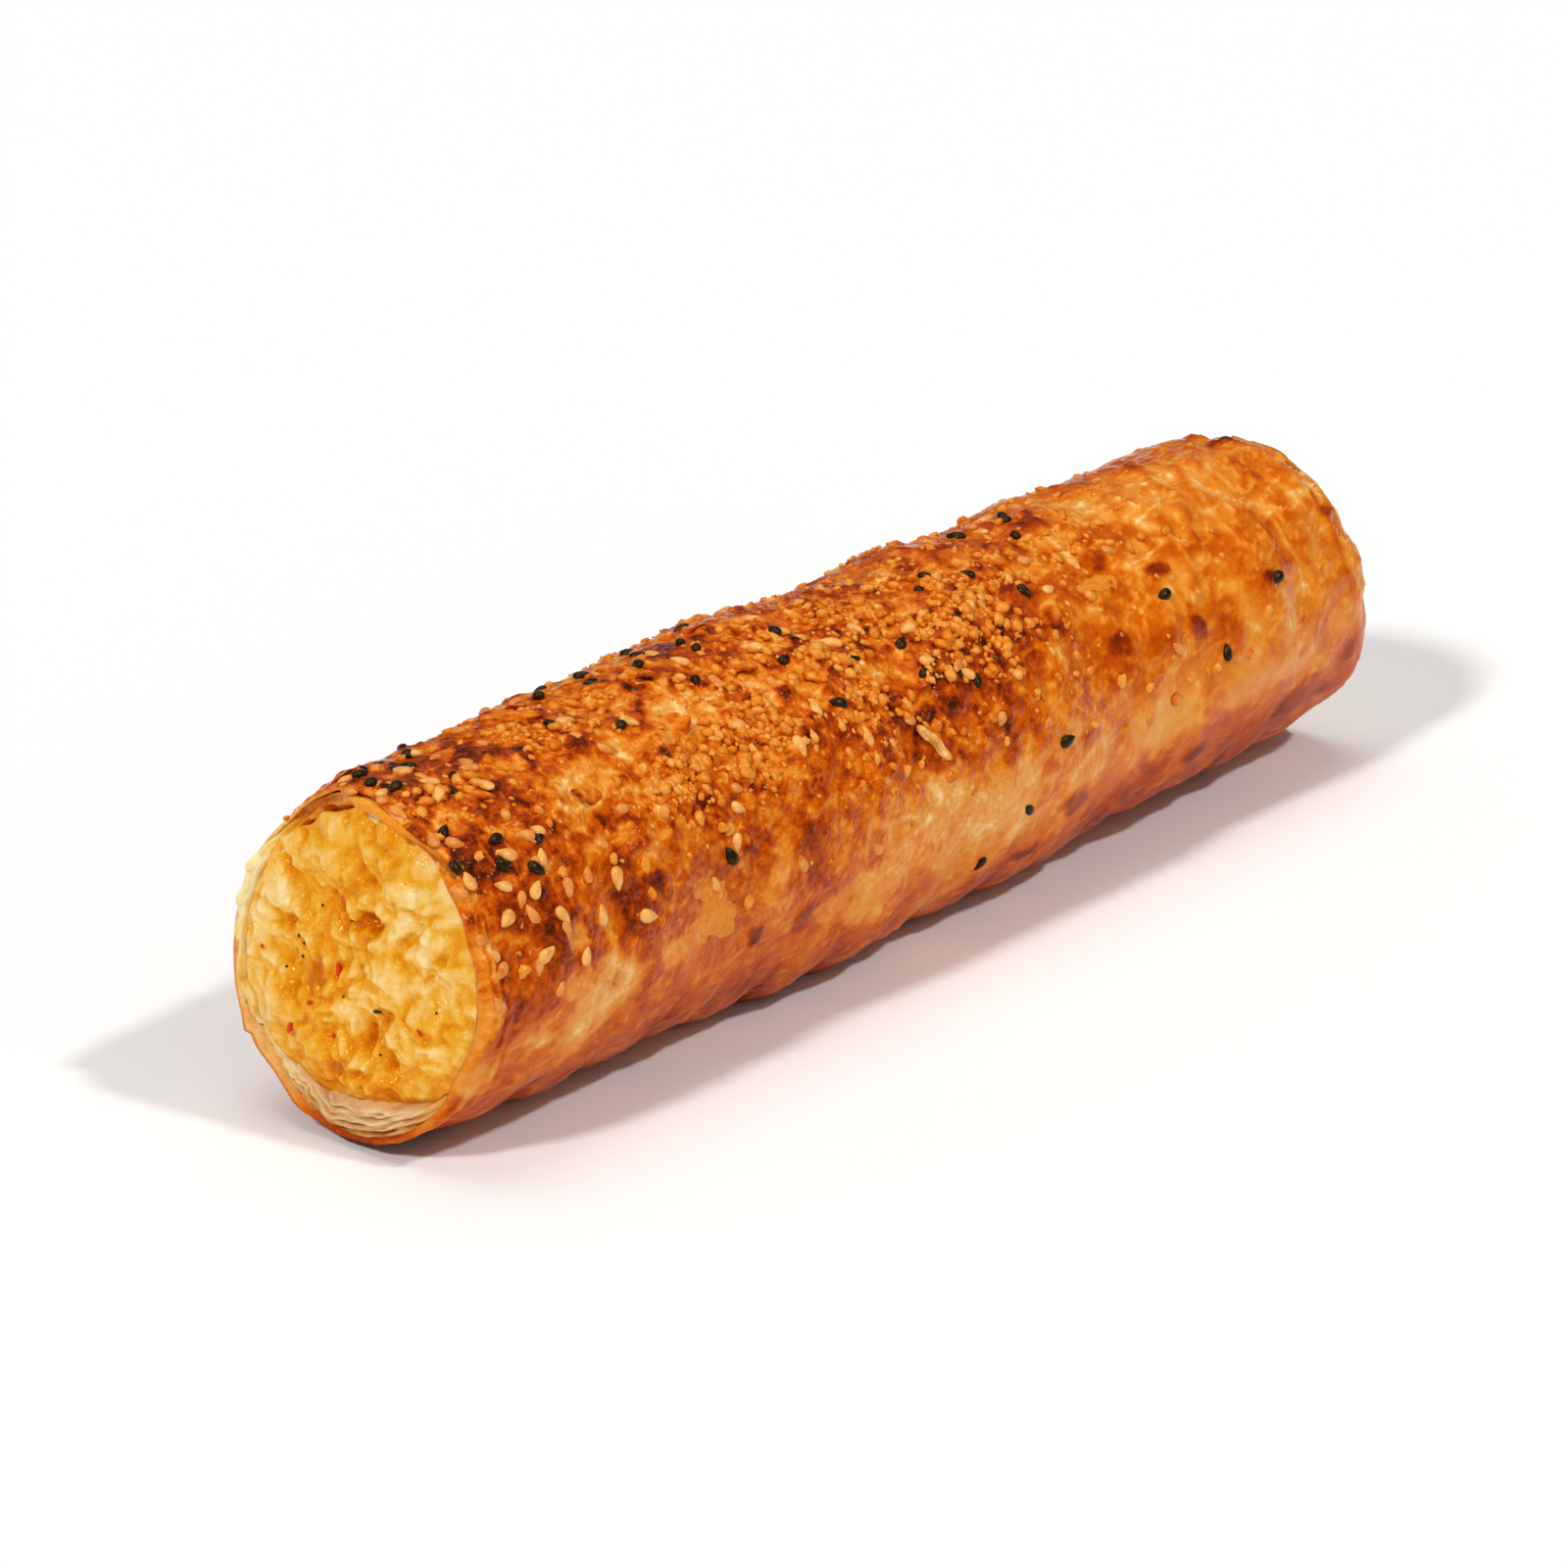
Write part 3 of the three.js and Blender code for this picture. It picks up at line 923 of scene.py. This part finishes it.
# How the dough looks round an end, for stretches given as (middle, half width) in degrees. At the
# side that the photo shows it is one mass with the potato, opposite it is pale, soft and thick,
# underneath it is in loose clear sheets, and on top it has come away from the lifted crust.
FUSED = (88, 56)
SOFT = (-100, 72)
LOOSE = (176, 46)
LIFTED_TOP = (-34, 24)
AMBER = (28, 48)  # where the dough's outer layers have browned too
# Where the crust's edge has torn away at the near end: (middle, half width, depth). The first two are
# in the solids too.
TORN = [(-14, 50, 2.4), (-88, 72, 1.4), (88, 50, 1.3)]
# Where the potato has spread over the dough: (middle, half width, share of the dough's thickness).
SPREAD = [(52, 84, 1.1), (-104, 62, 0.66)]
SPREAD_MOST = 0.68  # any further and its edge would come out through the crust


def stretch(around, part):
    """0 to 1: how far inside a stretch round the end."""
    return bell(around, *part, power=4)


def along_steps():
    near = round((HALF + NEAR_UP_TO) / NEAR_CELL)
    far = round((HALF - NEAR_UP_TO) / FAR_CELL)
    near_places = np.linspace(-HALF, NEAR_UP_TO, near, endpoint=False)
    return np.concatenate([near_places, np.linspace(NEAR_UP_TO, HALF, far)])


def around_steps():
    stretches = []
    for low, high, cell in AROUND_CELLS:
        count = round(RADIUS * math.radians(high - low) / cell)
        stretches.append(np.linspace(low, high, count, endpoint=False))
    return np.concatenate(stretches)


def torn_edge(along, around):
    """How far in from its place the crust's ragged edge stands."""
    ragged = noises(*ring(around, END_RING), along, (1, 5), (0.8, 2))
    bare = sum(depth * stretch(around, part) for *part, depth in TORN)
    return lip_wave(along, around, 0.9) + near_end(along) * (bare * (along < 0) + 0.5 * ragged)


def lip_fall(along, around):
    """How far the crust's edge bends in where it is one mass with the potato."""
    past = closeness(along, LIP_BEND)
    return LIP_FALL * stretch(around, FUSED) * (1 - np.sqrt(1 - past**2))


def sheet_points(along, around, height):
    """Points of the outer sheet, some height over the crust's place."""
    place = along - np.sign(along) * torn_edge(along, around)
    return placed(place, around, crust_radius(along, around) + height - lip_fall(along, around))


def edge_bake(around):
    """How baked the crust's cut edge is: pale at the soft side and dark underneath."""
    return 0.3 - 0.24 * stretch(around, SOFT) + 0.35 * step(0.75, 1, stretch(around, LOOSE))


def make_crust(material):
    along = along_steps()[:, None]
    around = around_steps()[None, :]
    forms = crust_forms(along, around)
    outer = sheet_points(along, around, crust_height(forms))
    inside = HALF - np.array(SHEET_INSIDE)
    inner_along = np.concatenate([inside, -inside[::-1]])[:, None]
    inner = sheet_points(inner_along, around, -SHEET_SHARE * WALL)
    points = np.concatenate([outer, inner])
    faces = grid_faces(*points.shape[:2], wrap_rows=True)[:, ::-1]
    inner_bake = np.broadcast_to(edge_bake(around), inner.shape[:2])
    values = {
        "bake": np.concatenate([crust_bake_and_shade(forms), inner_bake]),
        "dull": np.concatenate([crust_dull(forms), np.full_like(inner_bake, 0.4)]),
        "crisp": crispness(np.concatenate([along, inner_along]), around),
    }
    crust = add_piece("crust", (points.reshape(-1, 3), faces), material, values)
    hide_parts("pastry")


# ---- Things that lie on the crust ----


def on_crust(along, around, lift):
    height = crust_height(crust_forms(along, around))
    return placed(along, around, crust_radius(along, around) + height + lift)


def laid(template, rows, lift):
    """Copies of a template on the crust, for rows of along, around, heading, tilt and size."""
    along, around, heading, tilt, size = np.asarray(rows, float).T
    matrices = turned(0, around) @ turned(2, heading) @ turned(1, tilt) * size[:, None, None]
    return strewn(template, matrices, on_crust(along, around, lift))


# Where the seeds lie, as in the solids: along, around, how many black, how many white.
SEED_ZONES = [
    ((-101, -79), (-26, -5), 6, 3),
    ((-103, -83), (0, 20), 3, 4),
    ((-103, -98), (22, 56), 2, 1),
    ((-97, -84), (36, 58), 4, 5),
    ((-102, -71), (62, 86), 0, 8),
    ((-59, -24), (-27, -3), 9, 2),
    ((-70, -50), (5, 25), 2, 2),
    ((-42, -8), (-3, 32), 5, 5),
    ((-42, -16), (34, 58), 1, 4),
    ((-58, -46), (60, 86), 1, 3),
    ((8, 25), (8, 17), 3, 0),
    ((-6, 8), (16, 54), 3, 4),
    ((32, 50), (-18, 6), 4, 2),
    ((24, 46), (22, 40), 1, 3),
    ((50, 82), (44, 88), 3, 0),
    ((4, 24), (84, 130), 3, 0),
    ((-98, 92), (-82, -36), 6, 5),
]
BLACK_SEED = (2.7, 1.7, 1.3)
WHITE_SEED = (3.1, 1.85, 1.2)
SEED_SIZE_SPREAD = 0.16
SEED_HEIGHT = 0.12

SUNK_SEEDS = 64  # sesame seeds that the crust has baked over
SUNK_SEED_HEIGHT = -0.16
SUNK_REACH = (-103, 57)  # along the roll
SUNK_SIDES = (-32, 98)  # around it


def seed_places(colour):
    """Rows of along, around, heading, tilt and size."""
    rows = []
    for number, (along, around, black, white) in enumerate(SEED_ZONES):
        draw = drawer((100 if colour == "black" else 200) + number)
        start = draw()
        count = black if colour == "black" else white
        for i in range(count):
            u, v = (i + 0.2 + 0.6 * draw()) / count, (start + i * GOLDEN) % 1
            heading, tilt = 360 * draw(), 24 * (draw() - 0.5)
            size = 1 + SEED_SIZE_SPREAD * (2 * draw() - 1)
            rows.append([mix(*along, u), mix(*around, v), heading, tilt, size])
    return rows


def sunk_places():
    """Rows for the seeds that are baked over: most near the end that shows, fewer further off."""
    draw = drawer(77)
    rows = []
    for i in range(SUNK_SEEDS):
        along = mix(*SUNK_REACH, draw() ** 1.7)
        around = mix(*SUNK_SIDES, (i * GOLDEN) % 1)
        rows.append([along, around, 360 * draw(), 10 * draw(), 0.8 + 0.25 * draw()])
    return rows


def drop(size):
    """A seed's drop, pointed at +X."""
    points, faces = ball(3)
    taper = 1.2 - 0.75 * (points[:, 0] + 0.5) ** 1.4
    points = points * np.stack([np.ones_like(taper), taper, 0.5 + 0.5 * taper], -1)
    return points * np.array(size), faces


def make_seeds(name, rows, size, lift, material):
    add_piece(name, laid(drop(size), rows, lift), material)


CRUMB_PITCH = 1.05  # between the grid's places, which hold one grain each or none
CRUMB_STRAY = 0.9 * CRUMB_PITCH  # how wide the square round its place is that a grain may lie in
CRUMB_SIZES = (0.65, 2.0)
CRUMB_REACH = (-100, 75)  # along the roll
CRUMB_SIDES = (-75, 92)  # around it


def crumb_places():
    """(rows, shades) of the golden grains: a jittered grid, thinned to where the crust is grainy."""
    along = np.arange(*CRUMB_REACH, CRUMB_PITCH)
    around = np.arange(*CRUMB_SIDES, math.degrees(CRUMB_PITCH / RADIUS))
    i, j = (grid.ravel() for grid in np.meshgrid(np.arange(len(along)), np.arange(len(around))))
    off_along, off_around, luck, growth, heading, tilt, shade = (hash01(i, j, k) for k in range(1, 8))
    place = along[i] + CRUMB_STRAY * (off_along - 0.5)
    angle = around[j] + math.degrees(CRUMB_STRAY / RADIUS) * (off_around - 0.5)
    kept = luck < 0.03 + 0.8 * graininess(place, angle) ** 1.5
    size = mix(*CRUMB_SIZES, growth**2.2)
    rows = np.stack([place, angle, 360 * heading, 60 * (tilt - 0.5), size], -1)
    return rows[kept], shade[kept]


def lumpy(template, count, amount):
    """Copies of a ball, each lumpy in its own way."""
    points, faces = template
    shift = 3.7 * np.arange(count)[:, None]
    x, y, z = points.T
    swell = 1 + amount * noise(2 * x[None] + shift, 2 * y[None], 2 * z[None], 0.55)
    return points[None] * swell[..., None], faces


def make_crumbs(material):
    rows, shade = crumb_places()
    points, faces = lumpy(ball(2), len(rows), 0.4)
    points = points * np.array([1.3, 1.0, 0.75])
    # Painted light and shade: each grain is lighter on its top and darker low down where it sits in the
    # crust.
    bake = 0.26 + 0.22 * shade[:, None] - 0.3 * points[..., 2]
    add_piece("crumbs", laid((points, faces), rows, -0.08), material, {"bake": bake})


# Lifted flakes of the crust, and strips that lie on it, as in the solids.
FLAKE = (5.2, 3.6, 1.0)
FLAKE_COUNT = 12
FLAKE_REACH = (-95, -15)  # along the roll
FLAKE_SIDES = (-24, 46)  # around it
STRIPS = [
    # length, width, thickness, height, along, around, heading, bake
    (8, 1.5, 1.1, 0.3, -7.2, 66.5, -52, 0.12),
    (9, 2.4, 1.5, 0.4, -66.8, -8, -58, 0.4),
]


def flake_places():
    draw = drawer(31)
    rows = []
    for i in range(FLAKE_COUNT):
        along = mix(*FLAKE_REACH, (i + 0.8 * draw()) / FLAKE_COUNT)
        around = mix(*FLAKE_SIDES, (i * GOLDEN) % 1)
        heading, tilt = 180 * draw(), 8 + 8 * draw()
        rows.append([along, around, heading, tilt, 0.75 + 0.5 * draw()])
    return rows


def crust_values(bake, dull):
    """The values of a loose piece of crust, from how baked its points are."""
    return {"bake": bake, "dull": np.full_like(bake, dull), "crisp": np.ones_like(bake)}


def make_flakes(material):
    rows = flake_places()
    points, faces = ball(4)
    x, y, z = points.T
    length, width, thickness = FLAKE
    copies = []
    for number in range(len(rows)):
        ragged = 1 + 0.35 * noise(3 * x + 5 * number, 3 * y, 0, 0.8)
        curl = 1.3 * (x + 0.2) ** 2 - 0.8 * y**2 + 0.15 * noise(2 * x, 2 * y, 9 * number, 0.6)
        copies.append(np.stack([x * ragged * length, y * ragged * width, z * thickness * 0.8 + curl], -1))
    bake = 0.38 + 0.16 * step(0.34, 0.5, np.hypot(x, y)) + 0.16 * noise(4 * x, 4 * y, 0, 0.7)
    form = laid((np.array(copies), faces), rows, -0.1)
    values = crust_values(np.tile(bake, len(rows)), 0.24)
    add_piece("crust_flakes", form, material, values)


def make_strips(material):
    points, faces = ball(4)
    x, y, z = points.T
    square = np.sign(x) * np.abs(2 * x) ** 0.6 / 2
    parts, bakes = [], []
    for number, (length, width, thick, lift, along, around, heading, bake) in enumerate(STRIPS):
        wave = 0.35 * noise(5 * square, 7 * number, 0, 1.2)
        swell = 1 + 0.25 * noise(4 * x, 3 * y, 5 * number, 0.5)
        body = np.stack([square * length, y * width * swell + wave, z * thick * swell], -1)
        parts.append(laid((body, faces), [[along, around, heading, 0, 1]], lift))
        bakes.append(bake + 0.12 * noise(4 * x, 4 * y, 4 * z, 0.8) + 0.3 * step(0.35, 0.5, np.abs(x)))
    values = crust_values(np.concatenate(bakes), 0.28)
    add_piece("strips", merged(parts), material, values)


# ---- The layers that show at the cut ends ----

RIM_STEPS = 600  # round each end
RIM_SHARES = np.linspace(-0.6, 0.82, 36)  # from over the potato to under the outer sheet
RIM_HIDDEN = [(8, 0.5), (12, 0.3), (12, -0.3)]  # behind the face, as (distance from the end, share)
RIM_SHEETS = 5.5  # how many sheets show across the wall where they are loose


def spread(end, around):
    """The share of the dough's cut face that the potato has spread over."""
    ragged = 0.8 + noises(50 * end, *ring(around, END_RING), (0.3, 4), (0.25, 1.6))
    reach = ragged * sum(share * stretch(around, part) for *part, share in SPREAD)
    return np.minimum(reach, SPREAD_MOST)


def rim_forms(end, share, around):
    """What the relief and colour of the layers' cut face are made of, place by place."""
    y, z = ring(around, END_RING)
    f = SimpleNamespace(share=share)
    f.fused, f.soft, f.loose = (stretch(around, part) for part in (FUSED, SOFT, LOOSE))
    f.amber = stretch(around, AMBER)
    f.wander = noises(60 * end, y, z, (0.5, 7), (0.35, 2.6))
    drift = noises(30 * end, y, z, (0.4, 8), (0.25, 2.4))
    sheets = RIM_SHEETS * (0.55 + 0.45 * f.loose) * (1 + 0.35 * noise(20 * end, y, z, 9))
    groove = (0.5 + 0.5 * np.cos(2 * math.pi * sheets * (share + drift))) ** 2
    f.groove = groove * step(-0.3, 0.4, noise(30 * share, y, z, 3.4))
    f.knob = dome(scatter(60 * end + 4 * share, y, z, 1.8, 4)[0], 0.5)
    f.lumps = noise(60 * end + 5 * share, y, z, 2.4)
    f.fine = noise(40 * share, y, z, 1.1)
    f.mottle = noise(12 * share, y, z, 4)
    f.over = 1 - step(-0.5, 0.0, share)
    f.bare = share - spread(end, around)
    f.gap = stretch(around, LIFTED_TOP) * (end < 0) * step(0.0, 0.25, share + 0.2 * f.wander)
    f.clear = f.loose * step(-0.25, 0.1, share)
    return f


def rim_back(f):
    """How far in from the end the layers' cut face stands, in millimetres."""
    back = 0.9 + f.wander + (0.15 + 0.1 * f.soft + 0.5 * f.loose) * f.groove + 0.2 * f.fine
    back = back + f.soft * 0.9 * f.lumps - (0.2 + 0.5 * f.soft) * f.knob
    back = back + f.fused * (2.4 - 0.5 * f.wander) + 1.6 * f.soft * step(0.3, 1.0, f.share) ** 2
    back = back + 1.3 * f.soft * (1 - step(0.1, 0.55, f.bare))
    back = back + (2.8 - 1.4 * f.fused - 1.2 * f.soft) * f.over
    return back + 3.5 * f.gap + 2.6 * (1 - step(-0.2, 0.02, f.bare))


def rim_bake(f):
    """How baked the layers are, from 0 for raw dough to 1 for burnt."""
    bake = 0.22 - 0.14 * f.soft + 0.1 * f.groove + 0.2 * f.mottle + 0.16 * f.over
    bake = bake + 0.3 * f.fused + 0.5 * f.gap + 0.08 * f.fine + (0.16 + 0.2 * f.soft) * f.wander
    bake = bake + (0.22 * f.soft * f.knob + 0.4 * f.amber) * step(0.3, 0.7, f.share)
    sheets = 0.16 + 0.3 * f.groove + 0.2 * f.fine + 0.3 * step(0.45, 0.8, f.share)
    return np.clip(mix(bake, sheets, 0.8 * f.clear), 0, 1)


def in_wall(along, around, share, lift):
    """Points at a share of the way from the filling to the outside of the crust."""
    inner = bore_radius(along, around)
    return placed(along, around, inner + share * (crust_radius(along, around) - inner), lift)


def make_rims(material):
    around = (np.arange(RIM_STEPS) * 360 / RIM_STEPS)[None, :]
    share = RIM_SHARES[:, None]
    hidden_back, hidden_share = np.array(RIM_HIDDEN).T[:, :, None]
    pad = np.zeros((len(RIM_HIDDEN), RIM_STEPS))
    parts, bakes, clears = [], [], []
    for end in (-1, 1):
        forms = rim_forms(end, share, around)
        face = in_wall(end * (HALF - rim_back(forms)), around, share, BORE_LIFT * (1 - share))
        tail = in_wall(end * (HALF - hidden_back), around, hidden_share, BORE_LIFT)
        grid = np.concatenate([face, tail])
        quads = grid_faces(len(grid), RIM_STEPS, wrap_rows=True)
        parts.append((grid.reshape(-1, 3), quads if end > 0 else quads[:, ::-1]))
        bakes.append(np.concatenate([rim_bake(forms), pad + 0.4]).ravel())
        clears.append(np.concatenate([forms.clear, pad]).ravel())
    values = {"bake": np.concatenate(bakes), "clear": np.concatenate(clears)}
    add_piece("pastry_layers", merged(parts), material, values)


# ---- The potato ----

FACE_RINGS = 84
FACE_SPOKES = 360
EDGE_ROUNDING = 1.0  # how far back the face's edge curves
EDGE_CLEAR = 1.9  # between that edge and the outside of the crust, at the least
CORE_STEPS = 30

# Hollows in the near face, as (Y, height above the axis, half width, half height, lean in degrees,
# depth, how much darker the hollow is painted, as painted shade). A negative depth is a lump, which is
# painted paler, as painted light.
HOLLOWS = [
    (-2.0, 7.6, 2.6, 2.0, 30, 1.9, 0.7),
    (1.6, 6.6, 2.2, 1.2, 10, 0.8, 0.35),
    (5.5, 8.4, 3.4, 2.2, 0, 0.7, 0.3),
    (9.5, -4.5, 4.2, 5.4, 20, 1.0, 0.34),
    (-2.6, -9.6, 1.6, 3.2, 15, 1.5, 0.4),
    (-6.4, -12.2, 1.9, 2.3, 0, 1.1, 0.3),
    (-6.6, -6.0, 2.4, 2.0, 0, 0.7, 0.3),
    (-10.0, 7.2, 5.4, 1.0, -48, 0.9, 0.3),
    (-14.5, 3.4, 3.6, 0.8, -60, 0.8, 0.28),
    (0.5, -16.0, 6.5, 1.6, -6, 1.0, 0.36),
    (15.0, 11.0, 5.0, 0.9, 48, 0.8, 0.25),
    (-1.0, 13.8, 3.0, 1.1, 8, 0.8, 0.2),
    (13.5, 3.0, 1.2, 3.4, 10, 0.6, 0.2),
    (-5.5, -1.0, 4.0, 3.2, 0, -0.7, -0.16),
    (2.2, -9.0, 2.6, 4.0, 10, -0.8, -0.14),
    (-6.0, 12.6, 5.0, 1.8, -10, -0.7, -0.16),
    (14.0, 8.0, 3.0, 2.2, 40, -0.6, -0.16),
    (16.0, -9.0, 2.4, 4.0, -20, -0.5, -0.14),
]


def face_hollows(x, y, z, end):
    """(depth, painted shade) of the hollows: how deep each is, and how much darker it is painted for the
    shade in it. The far face has them the other way up.
    """
    depth, hollow_shade = 0, 0
    wander_y, wander_z = (noises(x + shift, y, z, (0.9, 3.6), (0.4, 1.5)) for shift in (0, 9))
    y, z = (y, z) if end < 0 else (-y, -z)
    for place_y, place_z, half_width, half_height, lean, deep, shading in HOLLOWS:
        cos, sin = math.cos(math.radians(lean)), math.sin(math.radians(lean))
        off_y, off_z = y + wander_y - place_y, z + wander_z - place_z
        u, v = off_y * cos + off_z * sin, off_z * cos - off_y * sin
        inside = 1 - step(0.3, 1.3, np.hypot(u / half_width, v / half_height))
        depth = depth + deep * inside
        hollow_shade = hollow_shade + shading * inside
    return depth, hollow_shade


def folds(x, y, z, width):
    """Soft lumps with creases between them, -1 to 1."""
    return 2.4 * np.sqrt(noise(x, y, z, width) ** 2 + 0.006) - 0.95


def mash_detail(end, y, z):
    """Fine relief of the torn potato, in millimetres, and its shade, 0 pale to 1 deep, with painted light
    on the tops of lumps and grains and painted shade in creases and hollows.
    """
    x = MASH_PLACE * end
    wander_y, wander_z = (noises(x + shift, y, z, (1.8, 6), (0.5, 2.4)) for shift in (0, 9))
    warped_y, warped_z = y + wander_y, z + wander_z
    radius, angle = np.hypot(y, z), np.arctan2(z, -y)
    smeared = 1 - step(-10, 1, y)
    smear = noise(x, radius + 0.9 * noise(x, y, z, 4), 5 * angle, 1.3) * smeared
    lumpy = 0.45 * folds(x, warped_y, warped_z, 7.5) + 0.4 * folds(x + 5, warped_y, warped_z, 3.6)
    clods = dome(scatter(x, warped_y, warped_z, 2.4, 9)[0], 0.6)
    grainy = 0.26 * folds(x, warped_y, warped_z, 1.8) + 0.2 * noise(x, y, z, 0.9) + 0.4 * clods
    height = (1 - 0.5 * smeared) * (lumpy + 0.5 * grainy) + 0.6 * grainy + 0.25 * smear
    depth, hollow_shade = face_hollows(x, y, z, end)
    # Painted light and shade over the potato's own tones: paler on the tops of lumps and grains, darker
    # in creases and in the hollows.
    shade = 0.5 - 0.38 * lumpy - 0.55 * grainy + 0.16 * noise(x, y, z, 9) + 0.8 * hollow_shade
    shade = shade + 0.14 * smear - 0.05 * smeared + 0.1 * step(12, 18, -z) - 0.2 * step(11, 19, y)
    return height - depth, np.clip(shade, 0, 1)


def on_potato(end, nominal, around, lift=0):
    """(points, shades) on one end's face. Its outermost rings have spread over the dough."""
    share = nominal / BORE_RADIUS
    reach = bore_radius(end * INSIDE, around) - GAP
    most = crust_radius(end * INSIDE, around) - EDGE_CLEAR
    radius = np.minimum(share * reach + share**8 * WALL * spread(end, around), most)
    y, z = ring(around, nominal)
    height, shade = mash_detail(end, -y, z)
    inside = BORE_RADIUS - nominal
    relief = mash_rise(end, nominal, around) + step(0, 0.8, inside) * height
    joined = np.maximum(stretch(around, SOFT), stretch(around, FUSED))
    relief = relief - EDGE_ROUNDING * (1 - 0.7 * joined) * (1 - step(0, 1.6, inside))
    return placed(end * (INSIDE + relief + lift), around, radius, BORE_LIFT), shade


def tip_faces(rows):
    """Triangles from the first and the last ring of a grid to the tips that follow its points."""
    first_tip = rows * FACE_SPOKES
    last_ring = first_tip - FACE_SPOKES
    spoke = np.arange(FACE_SPOKES)
    beside = (spoke + 1) % FACE_SPOKES
    near = np.stack([np.full_like(spoke, first_tip), spoke, beside], -1)
    far = np.stack([np.full_like(spoke, first_tip + 1), last_ring + beside, last_ring + spoke], -1)
    return np.concatenate([near, far])


def make_filling(material):
    around = (np.arange(FACE_SPOKES) * 360 / FACE_SPOKES)[None, :]
    rings = BORE_RADIUS * (np.arange(1, FACE_RINGS + 1) / FACE_RINGS)[:, None]
    near, near_shade = on_potato(-1, rings, around)
    far, far_shade = on_potato(1, rings, around)
    side = np.linspace(-INSIDE, INSIDE, CORE_STEPS)[1:-1, None]
    core = placed(side, around, bore_radius(side, around) - GAP, BORE_LIFT)
    grid = np.concatenate([near, core, far[::-1]])
    points = np.concatenate([grid.reshape(-1, 3), [near[0].mean(0), far[0].mean(0)]])
    faces = [*grid_faces(len(grid), FACE_SPOKES)[:, ::-1], *tip_faces(len(grid))]
    plain = np.full(core.shape[:2], 0.5)
    shade = np.concatenate([near_shade, plain, far_shade[::-1]]).ravel()
    shade = np.concatenate([shade, [near_shade[0].mean(), far_shade[0].mean()]])
    filling = add_piece("filling", (points, faces), material, {"shade": shade})
    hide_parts("potato_filling")


# Chilli flakes in the potato, as (distance from its middle, around, size, turn). The first four are
# in the solids too, and the last two are too small for them.
BIT_TILT = 84  # a bit lies nearly flat in the face
BIT_LIFT = 0.12
CHILLI = (2.5, 0.9, 0.6)
CHILLI_FLAKES = [
    (4.7, -110, 1.0, 5),
    (10.7, -130, 0.5, 60),
    (16.6, -134, 0.75, 20),
    (14, 115, 0.45, 130),
    (12.7, -158, 0.35, 20),
    (18.4, -95, 0.35, 150),
]
# Dark flecks, as (distance, around, length, turn).
FLECKS = [
    (6.9, 143, 1.9, 80),
    (11.7, -81, 0.6, 10),
    (11.0, -86, 0.5, 60),
    (11.1, -96, 0.55, 0),
    (14.1, -103, 0.45, 40),
    (11.0, -51, 0.45, 0),
    (7.2, -14, 0.8, 60),
    (15.0, 100, 0.4, 0),
    (13.2, 160, 0.4, 90),
    (6.0, -150, 0.4, 30),
]


def make_bits(name, rows, measures, material):
    """Small flat bits in both faces, for rows of distance, around, size and turn."""
    radius, around, sizes, spins = np.array(rows, float).T
    points, faces = lumpy(ball(3), len(rows), 0.25)
    points = points * np.array([measures(size) for size in sizes])[:, None, :]
    matrices = turned(0, spins) @ turned(1, np.full(len(rows), BIT_TILT))
    places = [on_potato(end, radius, around, BIT_LIFT)[0] for end in (-1, 1)]
    form = merged([strewn((points, faces), matrices, own) for own in places])
    add_piece(name, form, material)


def chilli_measures(size):
    """Length, width and thickness."""
    length, width, thickness = CHILLI
    return length * size, width * size**0.5, thickness * size


def fleck_measures(length):
    return length, 0.35 + 0.08 * length, 0.3


# ---- The scene ----


def build():
    add_camera()
    light_scene()
    add_floor()
    crust = crust_material()
    make_crust(crust)
    make_flakes(crust)
    make_strips(crust)
    make_crumbs(crumb_material())
    make_rims(dough_material())
    make_filling(potato_material())
    black = speckled_material("black_seed", (12, 7, 4), (44, 26, 16), 1.2, 0.3)
    white = speckled_material("sesame", (220, 138, 54), (246, 190, 110), 1.5, 0.18)
    glazed = speckled_material("glazed_sesame", (206, 112, 34), (232, 156, 82), 1.5, 0.2)
    chilli = speckled_material("chilli", (200, 26, 4), (226, 60, 14), 0.8, 0.35)
    fleck = speckled_material("fleck", (40, 24, 10), (74, 50, 20), 0.8, 0.6)
    make_seeds("black_seeds", seed_places("black"), BLACK_SEED, SEED_HEIGHT, black)
    make_seeds("sesame_seeds", seed_places("white"), WHITE_SEED, SEED_HEIGHT, white)
    make_seeds("sunk_seeds", sunk_places(), WHITE_SEED, SUNK_SEED_HEIGHT, glazed)
    make_bits("chilli_flakes", CHILLI_FLAKES, chilli_measures, chilli)
    make_bits("dark_flecks", FLECKS, fleck_measures, fleck)


build()
